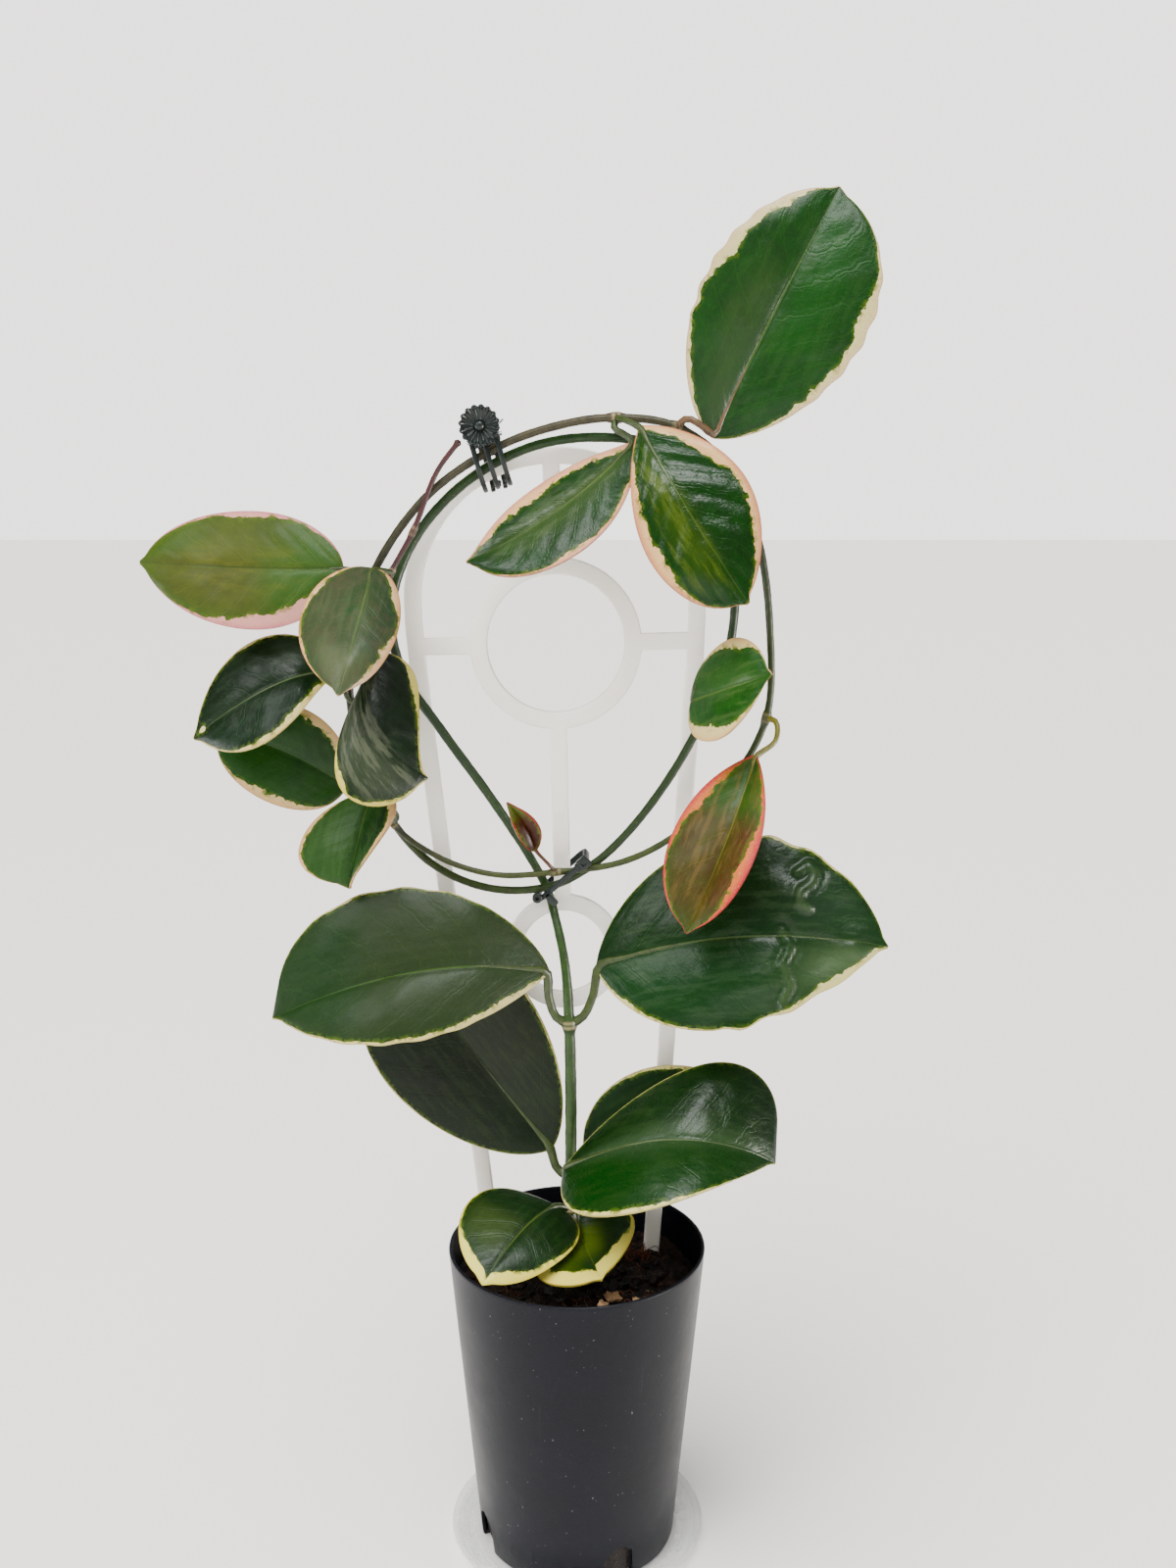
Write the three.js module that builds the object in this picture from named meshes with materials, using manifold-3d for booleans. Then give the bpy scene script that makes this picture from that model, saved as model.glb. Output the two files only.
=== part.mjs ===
// A potted Hoya australis with cream-edged leaves: a twining vine wound two and a half times round the
// head of a small white plastic trellis, in a black nursery pot on a clear saucer.
// Millimetres, +Z up, the viewer stands at -Y. The origin is the middle of the saucer's foot.

import * as THREE from "three";
import { mergeVertices } from "three/addons/utils/BufferGeometryUtils.js";
import Module from "manifold-3d";

const wasm = await Module();
wasm.setup();

// Sizes that drive the model, in millimetres
const gap = 0.3; // clear space between pieces that touch on the real thing

const saucer = { radius: 45.3, footRadius: 37, floor: 1, rimHeight: 3.8, wall: 0.8 };

const pot = {
  foot: saucer.floor + gap,
  height: 109,
  rimRadius: 45,
  baseRadius: 34.7,
  wall: 1.2,
  floor: 1.4,
  notchWidth: 12,
  notchHeight: 13.5,
  firstNotchDegrees: 24, // from the front towards +X, the other three a quarter turn apart
};

const soil = {
  level: 98,
  roughness: 1.3,
  wallClearance: 0.5,
  rings: 4,
  segments: 24,
  chips: 18,
  smallestChip: 3,
  largestChip: 6.5,
  stemHoleRadius: 2.5,
};

const trellis = {
  depthAt: 20, // distance of its plane behind the pot's axis
  thickness: 3.4,
  chamfer: 0.7,
  bar: 5.8,
  lean: 0.0233, // radians, to the left
  shift: 0.4,
  footHeight: 42,
  pointHeight: 9,
  legSpreadAtFloor: 20.7, // half the spacing of the legs' middle lines, carried down to the floor
  legFlare: 0.0854, // growth of that half spacing for each millimetre of height
  archCentre: 334,
  ringHigh: { z: 319.3, outer: 29.3, band: 5.9 },
  ringLow: { z: 210.7, outer: 20.7, band: 5.8 },
};

const clip = {
  hinge: [-30.2, 14, 387.2],
  tilt: -0.275, // radians about Y: the flower leans to the left
  flowerRadius: 6.7,
  petals: 18,
  pinRadius: 0.7,
  pinLength: 12,
  toothWidth: 1.6,
};

const tie = {
  centre: [-4.95, 14.6, 239.4],
  slope: 0.717, // radians, the band climbs to the right
  innerLength: 20.4,
  innerDepth: 15.3,
  wall: 1.4,
  width: 2.2,
};

const swelling = { growth: 1.35, halfLength: 3 }; // of the stem at a joint

const stemForm = { plainRings: 112, sides: 6, budRadius: 1.5 };

const blade = {
  thickness: 1,
  edgeThickness: 0.7,
  endHalfWidth: 0.35,
  crown: 0.09, // rise between midrib and edge, as a share of the breadth
  ripples: 9, // turns of the edge's wave in radians along the blade
  longSpan: 60, // blades longer than this get more rows
};

// Colours as seen in daylight
const colours = {
  pot: 0x36363c,
  soil: 0x2a1c14,
  saucer: 0xdfe3e2,
  trellis: 0xe4ddd6,
  vine: 0x2f4a1e,
  clip: 0x24332f,
  steel: 0xb9bcbf,
};

// The vine's middle line from its root to the growing tip, each point with the stem's radius.
// It climbs the middle, then runs up the left side, over the arch, down the right and back, twice.
const vineRoute = [
  [-1, 0, 85, 2],
  [-1.5, 0, 122, 2],
  [-2, 0, 134, 2],
  [-2, 0, 164, 2],
  [-2.5, 0, 190.5, 1.9],
  [-4, 3, 211, 1.55],
  [-7.5, 10, 226, 1.5],
  [-10.5, 16, 234.5, 1.5],
  [-16.5, 16.2, 246, 1.5],
  [-30, 14.5, 267.5, 1.6],
  [-46, 13.2, 290.5, 1.6],
  [-59, 12.5, 311, 1.6],
  [-62, 13, 331, 1.6],
  [-55, 14.3, 352.5, 1.6],
  [-38.5, 14.5, 371.5, 1.6],
  [-16, 14.5, 384, 1.55],
  [6, 14.5, 387.5, 1.55],
  [28, 14.5, 384, 1.55],
  [45, 14, 367.5, 1.55],
  [52.5, 13.2, 344, 1.5],
  [51, 13, 316, 1.5],
  [38, 12, 285, 1.45],
  [20, 12, 258, 1.4],
  [5, 12, 243.4, 1.4],
  [-10, 12.4, 235.8, 1.35],
  [-31, 12.5, 235.5, 1.35],
  [-51, 12, 245, 1.35],
  [-67, 11.4, 266, 1.35],
  [-75.5, 11, 293, 1.35],
  [-75, 11, 322, 1.35],
  [-66, 11, 346, 1.35],
  [-49, 10.8, 368.5, 1.35],
  [-27, 10.4, 383.5, 1.35],
  [-6, 10.4, 391, 1.35],
  [13, 10.4, 393.5, 1.35],
  [33, 10.4, 390.6, 1.3],
  [50, 10, 377.5, 1.3],
  [60, 10, 354.5, 1.3],
  [64.5, 10, 326, 1.25],
  [64, 10, 295, 1.2],
  [52, 9.5, 272.5, 1.15],
  [34, 9, 255, 1.1],
  [16, 8.8, 245.6, 1.1],
  [-7, 8.5, 242, 1.05],
  [-28, 9, 241, 1],
  [-47, 9, 247, 1],
  [-62.5, 8.5, 259, 1],
  [-70, 8, 278, 0.95],
  [-71.5, 7.5, 300, 0.95],
  [-67.5, 7.5, 325, 0.9],
  [-61, 7.5, 343.5, 0.9],
  [-53.5, 7.5, 357, 0.9],
  [-40.5, 8.6, 380.5, 0.85],
];

// Places on that route where leaves have grown and the stem is swollen
const joints = {
  lowest: 1,
  low: 2,
  pair: 4,
  leftLow: 27,
  top: 34,
  topRight: 35,
  right: 39,
  rightInner: 20,
  middle: 43,
  leftTwin: 46,
  leftRise: 48,
  leftHigh: 49,
  shoot: 50,
  shootTop: 51,
};

// Each leaf: where the blade starts, its middle and its tip, and its two edges beside the middle,
// left and right as seen from above with the tip away. The two numbers of a form say how fast that
// edge leaves the base and how fast it closes at the tip, 0.5 for round and 1 for straight.
// stalk is the way from the vine to the blade.
const leaves = {
  leaf_01_top_right: {
    base: [44.5, 8, 387], middle: [63, 5, 425.5], tip: [83.5, 11, 463.5],
    left: [40.5, 3, 436], right: [89.5, 3, 413],
    leftForm: [0.66, 0.62], rightForm: [0.7, 0.55],
    from: "topRight", stalk: [[36, 6.5, 393], [41, 6.5, 390.5]], radius: 1.1, wave: 0.5,
  },
  leaf_02_top_centre: {
    base: [20.5, 1, 390], middle: [34.5, -12, 365], tip: [53.5, -16, 336],
    left: [53.5, -4, 374.5], right: [20.5, -12, 354.5],
    leftForm: [0.83, 0.8], rightForm: [0.88, 0.5],
    from: "top", stalk: [[15.5, 4.5, 392.5]], radius: 1, wave: 0.6,
  },
  leaf_03_top_left: {
    base: [19, 6.5, 386], middle: [-3.5, 1, 365.5], tip: [-33.5, -8, 348],
    left: [6, -6, 354], right: [-9.5, 7, 373.5],
    leftForm: [0.7, 0.45], rightForm: [1.17, 0.93],
    from: "top", stalk: [[12.5, 8.5, 390], [15.5, 7.5, 388.2]], radius: 1.1, wave: 0.5,
  },
  leaf_04_far_left: {
    base: [-76, 2, 345], middle: [-107.5, -3, 345.5], tip: [-140.5, 2, 347],
    left: [-105.5, -8, 326], right: [-108, 5, 363.5],
    leftForm: [0.6, 0.75], rightForm: [0.55, 0.85],
    from: "shoot", stalk: [[-67, 5.2, 344], [-72, 3.6, 344.5]], radius: 0.8, wave: 0.6,
  },
  leaf_05_left_front: {
    base: [-66, -1, 345], middle: [-69, -22, 325.5], tip: [-72.5, -32, 309],
    left: [-57, -15, 324], right: [-87.5, -13, 329.5],
    leftForm: [0.5, 0.6], rightForm: [0.5, 0.6],
    from: "shoot", stalk: [[-62, 3.5, 346.5]], radius: 0.9, wave: 0.4,
  },
  leaf_06_left_dark: {
    base: [-76, 4, 312], middle: [-99.5, -6, 307], tip: [-124, -5, 291],
    left: [-91.5, -12, 296.5], right: [-107, 3, 321],
    leftForm: [1.45, 0.67], rightForm: [0.65, 0.75],
    from: "leftRise", stalk: [[-76, 5.5, 302], [-77, 4.5, 307]], radius: 0.9, wave: 0.5,
  },
  leaf_07_left_under: {
    base: [-78, 9, 272], middle: [-98.5, 5, 284.5], tip: [-120, 7, 290.5],
    left: [-105, 0, 269], right: [-92.5, 7, 299],
    leftForm: [0.5, 0.6], rightForm: [0.5, 0.6],
    from: "leftLow", stalk: [[-73, 10, 265.5]], radius: 0.8, wave: 0.5,
  },
  leaf_08_left_hanging: {
    base: [-65, 0, 318], middle: [-66, -14, 299.5], tip: [-49.5, -12, 279],
    left: [-51.5, -5, 297], right: [-75.5, -22, 278.5],
    leftForm: [0.5, 1], rightForm: [0.5, 0.5],
    from: "leftHigh", stalk: [[-64.5, 3.5, 323]], radius: 0.9, wave: 0.4,
  },
  leaf_09_left_low: {
    base: [-68, 3, 271], middle: [-72, -6, 256.5], tip: [-74.5, -10, 242.5],
    left: [-62.5, -16, 260], right: [-92, -2, 255],
    leftForm: [0.5, 1.3], rightForm: [0.6, 0.5],
    from: "leftTwin", stalk: [[-60.5, 4.5, 262.5], [-64.5, 2.5, 268]], radius: 0.8, wave: 0.4,
  },
  leaf_10_right_small: {
    base: [38.5, 6, 301], middle: [50, -8, 307], tip: [61, -16, 312],
    left: [51, -2, 322.5], right: [46, -12, 291],
    leftForm: [0.5, 0.6], rightForm: [0.5, 0.6],
    from: "rightInner", stalk: [[46, 7.5, 314], [40, 5, 306.5]], radius: 0.7, wave: 0.3,
  },
  leaf_11_right_pink: {
    base: [60, 2, 283.5], middle: [49.5, -16, 260], tip: [36.5, -22, 230.5],
    left: [58.5, -24, 258.5], right: [34, -8, 264],
    leftForm: [0.88, 0.62], rightForm: [0.88, 0.62],
    from: "right", stalk: [[67, 7, 294], [66.5, 4, 288]], radius: 0.9, wave: 0.4,
  },
  leaf_12_right_large: {
    base: [7, 3, 210], middle: [53.5, -6, 223], tip: [102.5, -8, 220.5],
    left: [56.5, 9, 254.5], right: [51, -16, 194.5],
    leftForm: [0.54, 0.6], rightForm: [0.8, 0.93],
    from: "pair", stalk: [[2, 0, 193], [5.5, 1, 200]], radius: 1.5, wave: 1,
  },
  leaf_13_left_large: {
    base: [-9.5, 1, 208.5], middle: [-52.5, -14, 213.5], tip: [-99.5, -14, 198],
    left: [-53.5, -26, 193.5], right: [-53.5, -2, 239],
    leftForm: [0.93, 0.9], rightForm: [0.66, 0.32],
    from: "pair", stalk: [[-7, 0, 193], [-9.5, 0.5, 200]], radius: 1.5, wave: 0.6,
  },
  leaf_14_left_under: {
    base: [-9, 3, 144], middle: [-38, 8, 179.5], tip: [-65.5, 10, 215.5],
    left: [-61, 2, 162.5], right: [-16.5, 6, 198],
    leftForm: [0.65, 0.5], rightForm: [0.65, 0.5],
    from: "low", stalk: [[-7, 2, 137]], radius: 1.5, wave: 0.5,
  },
  leaf_15_low_right: {
    base: [-4, -6, 140.5], middle: [32, -20, 157], tip: [66, -14, 146.5],
    left: [38.5, 0, 174], right: [26.5, -42, 144],
    leftForm: [0.8, 0.3], rightForm: [0.45, 0.87],
    from: "low", stalk: [[-3.5, -4.2, 137]], radius: 1.4, wave: 0.5,
  },
  leaf_16_low_right_back: {
    base: [4, 4, 139], middle: [29.5, 9, 153.5], tip: [56.5, 12, 162],
    left: [20.5, 11, 169], right: [38.5, 5, 139],
    leftForm: [0.5, 0.6], rightForm: [0.5, 0.6],
    from: "low", stalk: [[2, 2, 136.5]], radius: 1.3, wave: 0.4,
  },
  leaf_17_foot_left: {
    base: [-7.5, -4, 125.5], middle: [-18, -19, 124.5], tip: [-30, -35, 114.5],
    left: [-3, -21, 116.5], right: [-36.5, -12, 131.5],
    leftForm: [0.5, 0.55], rightForm: [0.5, 0.52],
    from: "lowest", stalk: [[-5, -2, 124.5]], radius: 1.1, wave: 0.4,
  },
  leaf_18_foot_right: {
    base: [0, -3, 123], middle: [2.5, -11, 116], tip: [8, -30, 113],
    left: [20, -10, 121], right: [-13.5, -23, 110.5],
    leftForm: [0.5, 0.8], rightForm: [0.5, 0.6],
    from: "lowest", stalk: [[1, -2.8, 121]], radius: 1, wave: 0.4,
  },
  leaf_19_young: {
    base: [-14, 7, 250], middle: [-16.5, 5, 257.5], tip: [-22.5, 6, 265.5],
    left: [-20, 3, 256], right: [-13, 3, 260],
    leftForm: [0.6, 0.7], rightForm: [0.6, 0.7],
    from: "middle", stalk: [[-9.5, 6.2, 245.2]], radius: 0.6, wave: 0.2,
  },
};

// Colours of the blades that aren't the usual dark green
const youngColours = {
  leaf_04_far_left: 0x7c8a12,
  leaf_11_right_pink: 0x6a5a2a,
  leaf_19_young: 0x5c2f16,
};
const bladeColour = 0x24451f;

const vector = (p) => new THREE.Vector3(p[0], p[1], p[2]);

// A closed geometry as a solid that can be joined and cut
function solidOf(geometry) {
  const bare = geometry.clone();
  for (const name of Object.keys(bare.attributes)) {
    if (name !== "position") bare.deleteAttribute(name);
  }
  const merged = mergeVertices(bare, 1e-4);
  return new wasm.Manifold(
    new wasm.Mesh({
      numProp: 3,
      vertProperties: merged.attributes.position.array,
      triVerts: new Uint32Array(merged.index.array),
    }),
  );
}

const joined = (solids) => solids.reduce((a, b) => a.add(b));

function geometryOf(solid) {
  const mesh = solid.getMesh();
  const geometry = new THREE.BufferGeometry();
  geometry.setAttribute("position", new THREE.BufferAttribute(mesh.vertProperties, 3));
  geometry.setIndex(new THREE.BufferAttribute(mesh.triVerts, 1));
  return geometry;
}

function piece(name, solid, colour, roughness, metalness = 0) {
  const material = new THREE.MeshStandardMaterial({ color: colour, roughness, metalness });
  const geometry = geometryOf(solid).toNonIndexed();
  geometry.computeVertexNormals();
  const mesh = new THREE.Mesh(geometry, material);
  mesh.name = name;
  return mesh;
}

const evenShares = (steps) => Array.from({ length: steps + 1 }, (_, i) => i / steps);

// A round tube whose radius changes along a curve, closed at both ends, with a ring of points at
// each of the given shares of the curve's length
function taperedTube(curve, radiusAt, shares, sides) {
  const frameCount = 1500;
  const frames = curve.computeFrenetFrames(frameCount, false);
  const steps = shares.length - 1;
  const points = [];
  const faces = [];
  for (const share of shares) {
    const centre = curve.getPointAt(share);
    const frame = Math.round(share * frameCount);
    for (let j = 0; j < sides; j++) {
      const turn = (2 * Math.PI * j) / sides;
      const point = centre
        .clone()
        .addScaledVector(frames.normals[frame], radiusAt(share) * Math.cos(turn))
        .addScaledVector(frames.binormals[frame], radiusAt(share) * Math.sin(turn));
      points.push(point.x, point.y, point.z);
    }
  }
  for (let i = 0; i < steps; i++) {
    for (let j = 0; j < sides; j++) {
      const a = i * sides + j;
      const b = i * sides + ((j + 1) % sides);
      faces.push(a, b, b + sides, a, b + sides, a + sides);
    }
  }
  for (let j = 1; j < sides - 1; j++) {
    faces.push(0, j + 1, j);
    faces.push(steps * sides, steps * sides + j, steps * sides + j + 1);
  }
  const geometry = new THREE.BufferGeometry();
  geometry.setAttribute("position", new THREE.Float32BufferAttribute(points, 3));
  geometry.setIndex(faces);
  return geometry;
}

// A flat outline drawn in X and height, made a plate that stands across Y with chamfered edges
function standingPlate(outline, thickness, chamfer, curveSegments = 12) {
  const geometry = new THREE.ExtrudeGeometry(outline, {
    depth: thickness - 2 * chamfer,
    bevelEnabled: chamfer > 0,
    bevelThickness: chamfer,
    bevelSize: chamfer,
    bevelOffset: -chamfer,
    bevelSegments: 1,
    curveSegments,
  });
  geometry.translate(0, 0, chamfer - thickness / 2);
  geometry.rotateX(Math.PI / 2);
  return geometry;
}

function rectangle(x0, z0, x1, z1) {
  const shape = new THREE.Shape();
  shape.moveTo(x0, z0);
  shape.lineTo(x1, z0);
  shape.lineTo(x1, z1);
  shape.lineTo(x0, z1);
  shape.closePath();
  return shape;
}

function polygon(points) {
  return new THREE.Shape(points.map(([x, y]) => new THREE.Vector2(x, y)));
}

// Repeatable draws between 0 and 1
function randomDraws(seed) {
  let state = seed;
  return () => {
    state = (state * 1664525 + 1013904223) % 4294967296;
    return state / 4294967296;
  };
}

function lathe(profile, segments) {
  return new THREE.LatheGeometry(
    profile.map(([r, z]) => new THREE.Vector2(r, z)),
    segments,
  ).rotateX(Math.PI / 2);
}

// Shallow clear dish with two ridges in its floor and a turned-up rim
function makeSaucer() {
  const { radius, footRadius, floor, rimHeight, wall } = saucer;
  const ridge = 0.5;
  const profile = [
    [0, 0],
    [footRadius, 0],
    [radius - 1, rimHeight - 1.2],
    [radius, rimHeight - 0.6],
    [radius, rimHeight],
    [radius - 2.2, rimHeight],
    [radius - 3, rimHeight - wall - 0.4],
    [footRadius + 1.8, floor + 0.2],
    [footRadius + 0.6, floor + ridge],
    [footRadius - 0.6, floor],
    [0, floor],
  ];
  return solidOf(lathe(profile, 40));
}

const potRadiusAt = (z) =>
  pot.baseRadius + ((pot.rimRadius - pot.baseRadius) * (z - pot.foot)) / pot.height;

// Tapered nursery pot with four drain notches cut through the bottom edge
function makePot() {
  const { foot, height, wall, floor } = pot;
  const top = foot + height;
  const profile = [
    [0, foot],
    [pot.baseRadius - 0.8, foot],
    [pot.baseRadius, foot + 0.8],
    [pot.rimRadius - 0.1, top - 0.4],
    [pot.rimRadius - 0.4, top],
    [pot.rimRadius - wall, top],
    [potRadiusAt(foot + floor) - wall, foot + floor],
    [0, foot + floor],
  ];
  const shell = solidOf(lathe(profile, 48));
  const half = pot.notchWidth / 2;
  const below = foot - 2;
  const up = foot + pot.notchHeight;
  const ragged = polygon([
    [-half, below],
    [half, below],
    [half - 0.8, up - 3],
    [half - 3.6, up - 0.6],
    [half - 6.4, up],
    [-half + 1.4, up - 2.6],
    [-half + 0.4, up - 6],
  ]);
  const cutter = standingPlate(ragged, 16, 0).translate(0, -pot.baseRadius, 0);
  const cutters = [0, 1, 2, 3].map((quarter) => {
    const turn = THREE.MathUtils.degToRad(pot.firstNotchDegrees + 90 * quarter);
    return solidOf(cutter.clone().rotateZ(turn));
  });
  return shell.subtract(joined(cutters));
}

// Half the distance between the legs' middle lines at a height, and the lean of the whole trellis
const legSpreadAt = (z) => trellis.legSpreadAtFloor + trellis.legFlare * z;
const leaned = (geometry) =>
  geometry.rotateY(-trellis.lean).translate(trellis.shift, trellis.depthAt, 0);

// Outline of legs and arch in one: down the outside, up the inside, with pointed feet
function frameOutline() {
  const half = trellis.bar / 2;
  const foot = trellis.footHeight;
  const shoulder = trellis.archCentre;
  const wide = legSpreadAt(shoulder - 12);
  const heel = foot + trellis.pointHeight;
  const shape = new THREE.Shape();
  shape.moveTo(-legSpreadAt(foot), foot);
  shape.lineTo(-legSpreadAt(heel) + half, heel);
  shape.lineTo(-wide + half, shoulder - 12);
  shape.lineTo(-wide + half, shoulder);
  shape.absarc(0, shoulder, wide - half, Math.PI, 0, true);
  shape.lineTo(wide - half, shoulder - 12);
  shape.lineTo(legSpreadAt(heel) - half, heel);
  shape.lineTo(legSpreadAt(foot), foot);
  shape.lineTo(legSpreadAt(heel) + half, heel);
  shape.lineTo(wide + half, shoulder - 12);
  shape.lineTo(wide + half, shoulder);
  shape.absarc(0, shoulder, wide + half, 0, Math.PI, false);
  shape.lineTo(-wide - half, shoulder - 12);
  shape.lineTo(-legSpreadAt(heel) - half, heel);
  shape.closePath();
  return shape;
}

function ringOutline({ z, outer, band }) {
  const shape = new THREE.Shape();
  shape.absarc(0, z, outer, 0, 2 * Math.PI, false);
  const hole = new THREE.Path();
  hole.absarc(0, z, outer - band, 0, 2 * Math.PI, true);
  shape.holes.push(hole);
  return shape;
}

// Moulded trellis: frame, two rings, the bar that joins them and the rungs at each ring
function makeTrellis() {
  const { thickness, chamfer, bar, ringHigh, ringLow, archCentre } = trellis;
  const half = bar / 2;
  const moulding = (outline, segments) =>
    solidOf(leaned(standingPlate(outline, thickness, chamfer, segments)));
  const rung = (ring, side) => {
    const start = ring.outer - ring.band / 2;
    const end = legSpreadAt(ring.z);
    const [x0, x1] = side > 0 ? [start, end] : [-end, -start];
    return moulding(rectangle(x0, ring.z - half, x1, ring.z + half), 1);
  };
  const archInside = archCentre + legSpreadAt(archCentre - 12);
  const highTop = ringHigh.z + ringHigh.outer - ringHigh.band / 2;
  const highFoot = ringHigh.z - ringHigh.outer + ringHigh.band / 2;
  const lowTop = ringLow.z + ringLow.outer - ringLow.band / 2;
  return joined([
    moulding(frameOutline(), 11),
    moulding(ringOutline(ringHigh), 11),
    moulding(ringOutline(ringLow), 9),
    moulding(rectangle(-half, highTop, half, archInside), 1),
    moulding(rectangle(-half, lowTop, half, highFoot), 1),
    rung(ringHigh, 1),
    rung(ringHigh, -1),
    rung(ringLow, 1),
    rung(ringLow, -1),
  ]);
}

const vinePoints = vineRoute.map(vector);
const vineCurve = new THREE.CatmullRomCurve3(vinePoints, false, "centripetal");
vineCurve.arcLengthDivisions = 2000;

const vineLengths = vineCurve.getLengths(vineCurve.arcLengthDivisions);
const vineLength = vineLengths.at(-1);
const swellingRadius = (place) => vineRoute[joints[place]][3] * swelling.growth;

// Where each joint sits, as a share of the vine's length
const jointShares = Object.values(joints).map((index) => {
  const division = Math.round((index / (vineRoute.length - 1)) * vineCurve.arcLengthDivisions);
  return vineLengths[division] / vineLength;
});

// The vine's radius at a share of its length: the route's own radii, swollen at the joints
function vineRadiusAt(share) {
  const spot = vineCurve.getUtoTmapping(share) * (vineRoute.length - 1);
  const before = Math.min(Math.floor(spot), vineRoute.length - 2);
  const radius = THREE.MathUtils.lerp(vineRoute[before][3], vineRoute[before + 1][3], spot - before);
  const nearest = Math.min(...jointShares.map((joint) => Math.abs(joint - share))) * vineLength;
  const rise = Math.max(0, 1 - (nearest / swelling.halfLength) ** 2);
  return radius * (1 + (swelling.growth - 1) * rise);
}

// The grown stem in one piece, with a swelling at each joint and a small bud at the tip
function makeVine() {
  const half = swelling.halfLength / vineLength;
  const plain = evenShares(stemForm.plainRings).filter((share) =>
    jointShares.every((joint) => Math.abs(joint - share) > 1.5 * half),
  );
  const shares = [...plain, ...jointShares.flatMap((joint) => [joint - half, joint, joint + half])];
  shares.sort((a, b) => a - b);
  const stem = solidOf(taperedTube(vineCurve, vineRadiusAt, shares, stemForm.sides));
  const tip = vinePoints.at(-1);
  const bud = new THREE.SphereGeometry(stemForm.budRadius, 7, 5).translate(tip.x, tip.y, tip.z);
  return stem.add(solidOf(bud));
}

// A leaf's middle surface: along runs from 0 at the base to 1 at the tip, across from -1 to 1
function leafSurface(leaf) {
  const [base, middle, tip, left, right] = ["base", "middle", "tip", "left", "right"].map((k) =>
    vector(leaf[k]),
  );
  const control = middle.clone().multiplyScalar(2).addScaledVector(base, -0.5).addScaledVector(tip, -0.5);
  const midrib = new THREE.QuadraticBezierCurve3(base, control, tip);
  const toLeft = left.clone().sub(middle);
  const toRight = right.clone().sub(middle);
  const up = right.clone().sub(left).cross(tip.clone().sub(base)).normalize();
  const breadth = toLeft.length() + toRight.length();
  return (along, across) => {
    const [fromBase, toTip] = across < 0 ? leaf.leftForm : leaf.rightForm;
    const width = (2 * along) ** fromBase * Math.max(0, 2 - 2 * along) ** toTip;
    const least = blade.endHalfWidth / (breadth / 2);
    const reach = Math.abs(across) * Math.max(width, least);
    const crown = blade.crown * breadth * reach * (1 - Math.abs(across));
    const phase = blade.ripples * along + (across > 0 ? 0 : 2);
    const ripple = leaf.wave * Math.sin(phase) * across * across * width;
    return midrib
      .getPoint(along)
      .addScaledVector(across < 0 ? toLeft : toRight, reach)
      .addScaledVector(up, crown + ripple);
  };
}

// The blade: one net of points for each face, split into triangles alike, closed round the edge
function bladeGeometry(surface, rows, columns) {
  const step = 0.01;
  const points = [];
  const faces = [];
  const net = (face) => {
    for (let i = 0; i <= rows; i++) {
      const along = (1 - Math.cos((Math.PI * i) / rows)) / 2;
      for (let j = 0; j <= columns; j++) {
        const across = (2 * j) / columns - 1;
        const low = Math.min(Math.max(along, step), 1 - step);
        const side = Math.min(Math.max(across, -1 + step), 1 - step);
        const lengthwise = surface(low + step, side).sub(surface(low - step, side));
        const crosswise = surface(low, side + step).sub(surface(low, side - step));
        const normal = crosswise.cross(lengthwise).normalize();
        const half = THREE.MathUtils.lerp(blade.thickness, blade.edgeThickness, Math.abs(across)) / 2;
        const point = surface(along, across).addScaledVector(normal, face * half);
        points.push(point.x, point.y, point.z);
      }
    }
  };
  net(1);
  net(-1);
  const wide = columns + 1;
  const lower = (rows + 1) * wide;
  for (let i = 0; i < rows; i++) {
    for (let j = 0; j < columns; j++) {
      const a = i * wide + j;
      faces.push(a, a + 1, a + wide + 1, a, a + wide + 1, a + wide);
      const b = a + lower;
      faces.push(b, b + wide + 1, b + 1, b, b + wide, b + wide + 1);
    }
  }
  const edge = [];
  for (let j = 0; j < columns; j++) edge.push(j);
  for (let i = 0; i < rows; i++) edge.push(i * wide + columns);
  for (let j = columns; j > 0; j--) edge.push(rows * wide + j);
  for (let i = rows; i > 0; i--) edge.push(i * wide);
  edge.forEach((a, k) => {
    const b = edge[(k + 1) % edge.length];
    faces.push(a, a + lower, b + lower, a, b + lower, b);
  });
  const geometry = new THREE.BufferGeometry();
  geometry.setAttribute("position", new THREE.Float32BufferAttribute(points, 3));
  geometry.setIndex(faces);
  return geometry;
}

// One leaf: the blade, and the stalk that starts just clear of the vine and ends under the midrib
function makeLeaf(leaf) {
  const surface = leafSurface(leaf);
  const span = vector(leaf.base).distanceTo(vector(leaf.tip));
  const rows = span > blade.longSpan ? 12 : 10;
  const body = solidOf(bladeGeometry(surface, rows, 4));
  const start = vinePoints[joints[leaf.from]].clone();
  const via = leaf.stalk.map(vector);
  const heading = via[0].clone().sub(start).normalize();
  start.addScaledVector(heading, swellingRadius(leaf.from) + gap + 0.4 * leaf.radius);
  const base = surface(0.01, 0);
  const under = surface(0.14, 0);
  const curve = new THREE.CatmullRomCurve3([start, ...via, base, under], false, "centripetal");
  const slender = (share) => leaf.radius * (1 - 0.55 * share * share * share);
  const stalk = solidOf(taperedTube(curve, slender, evenShares(6), 6));
  return body.add(stalk);
}

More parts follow.
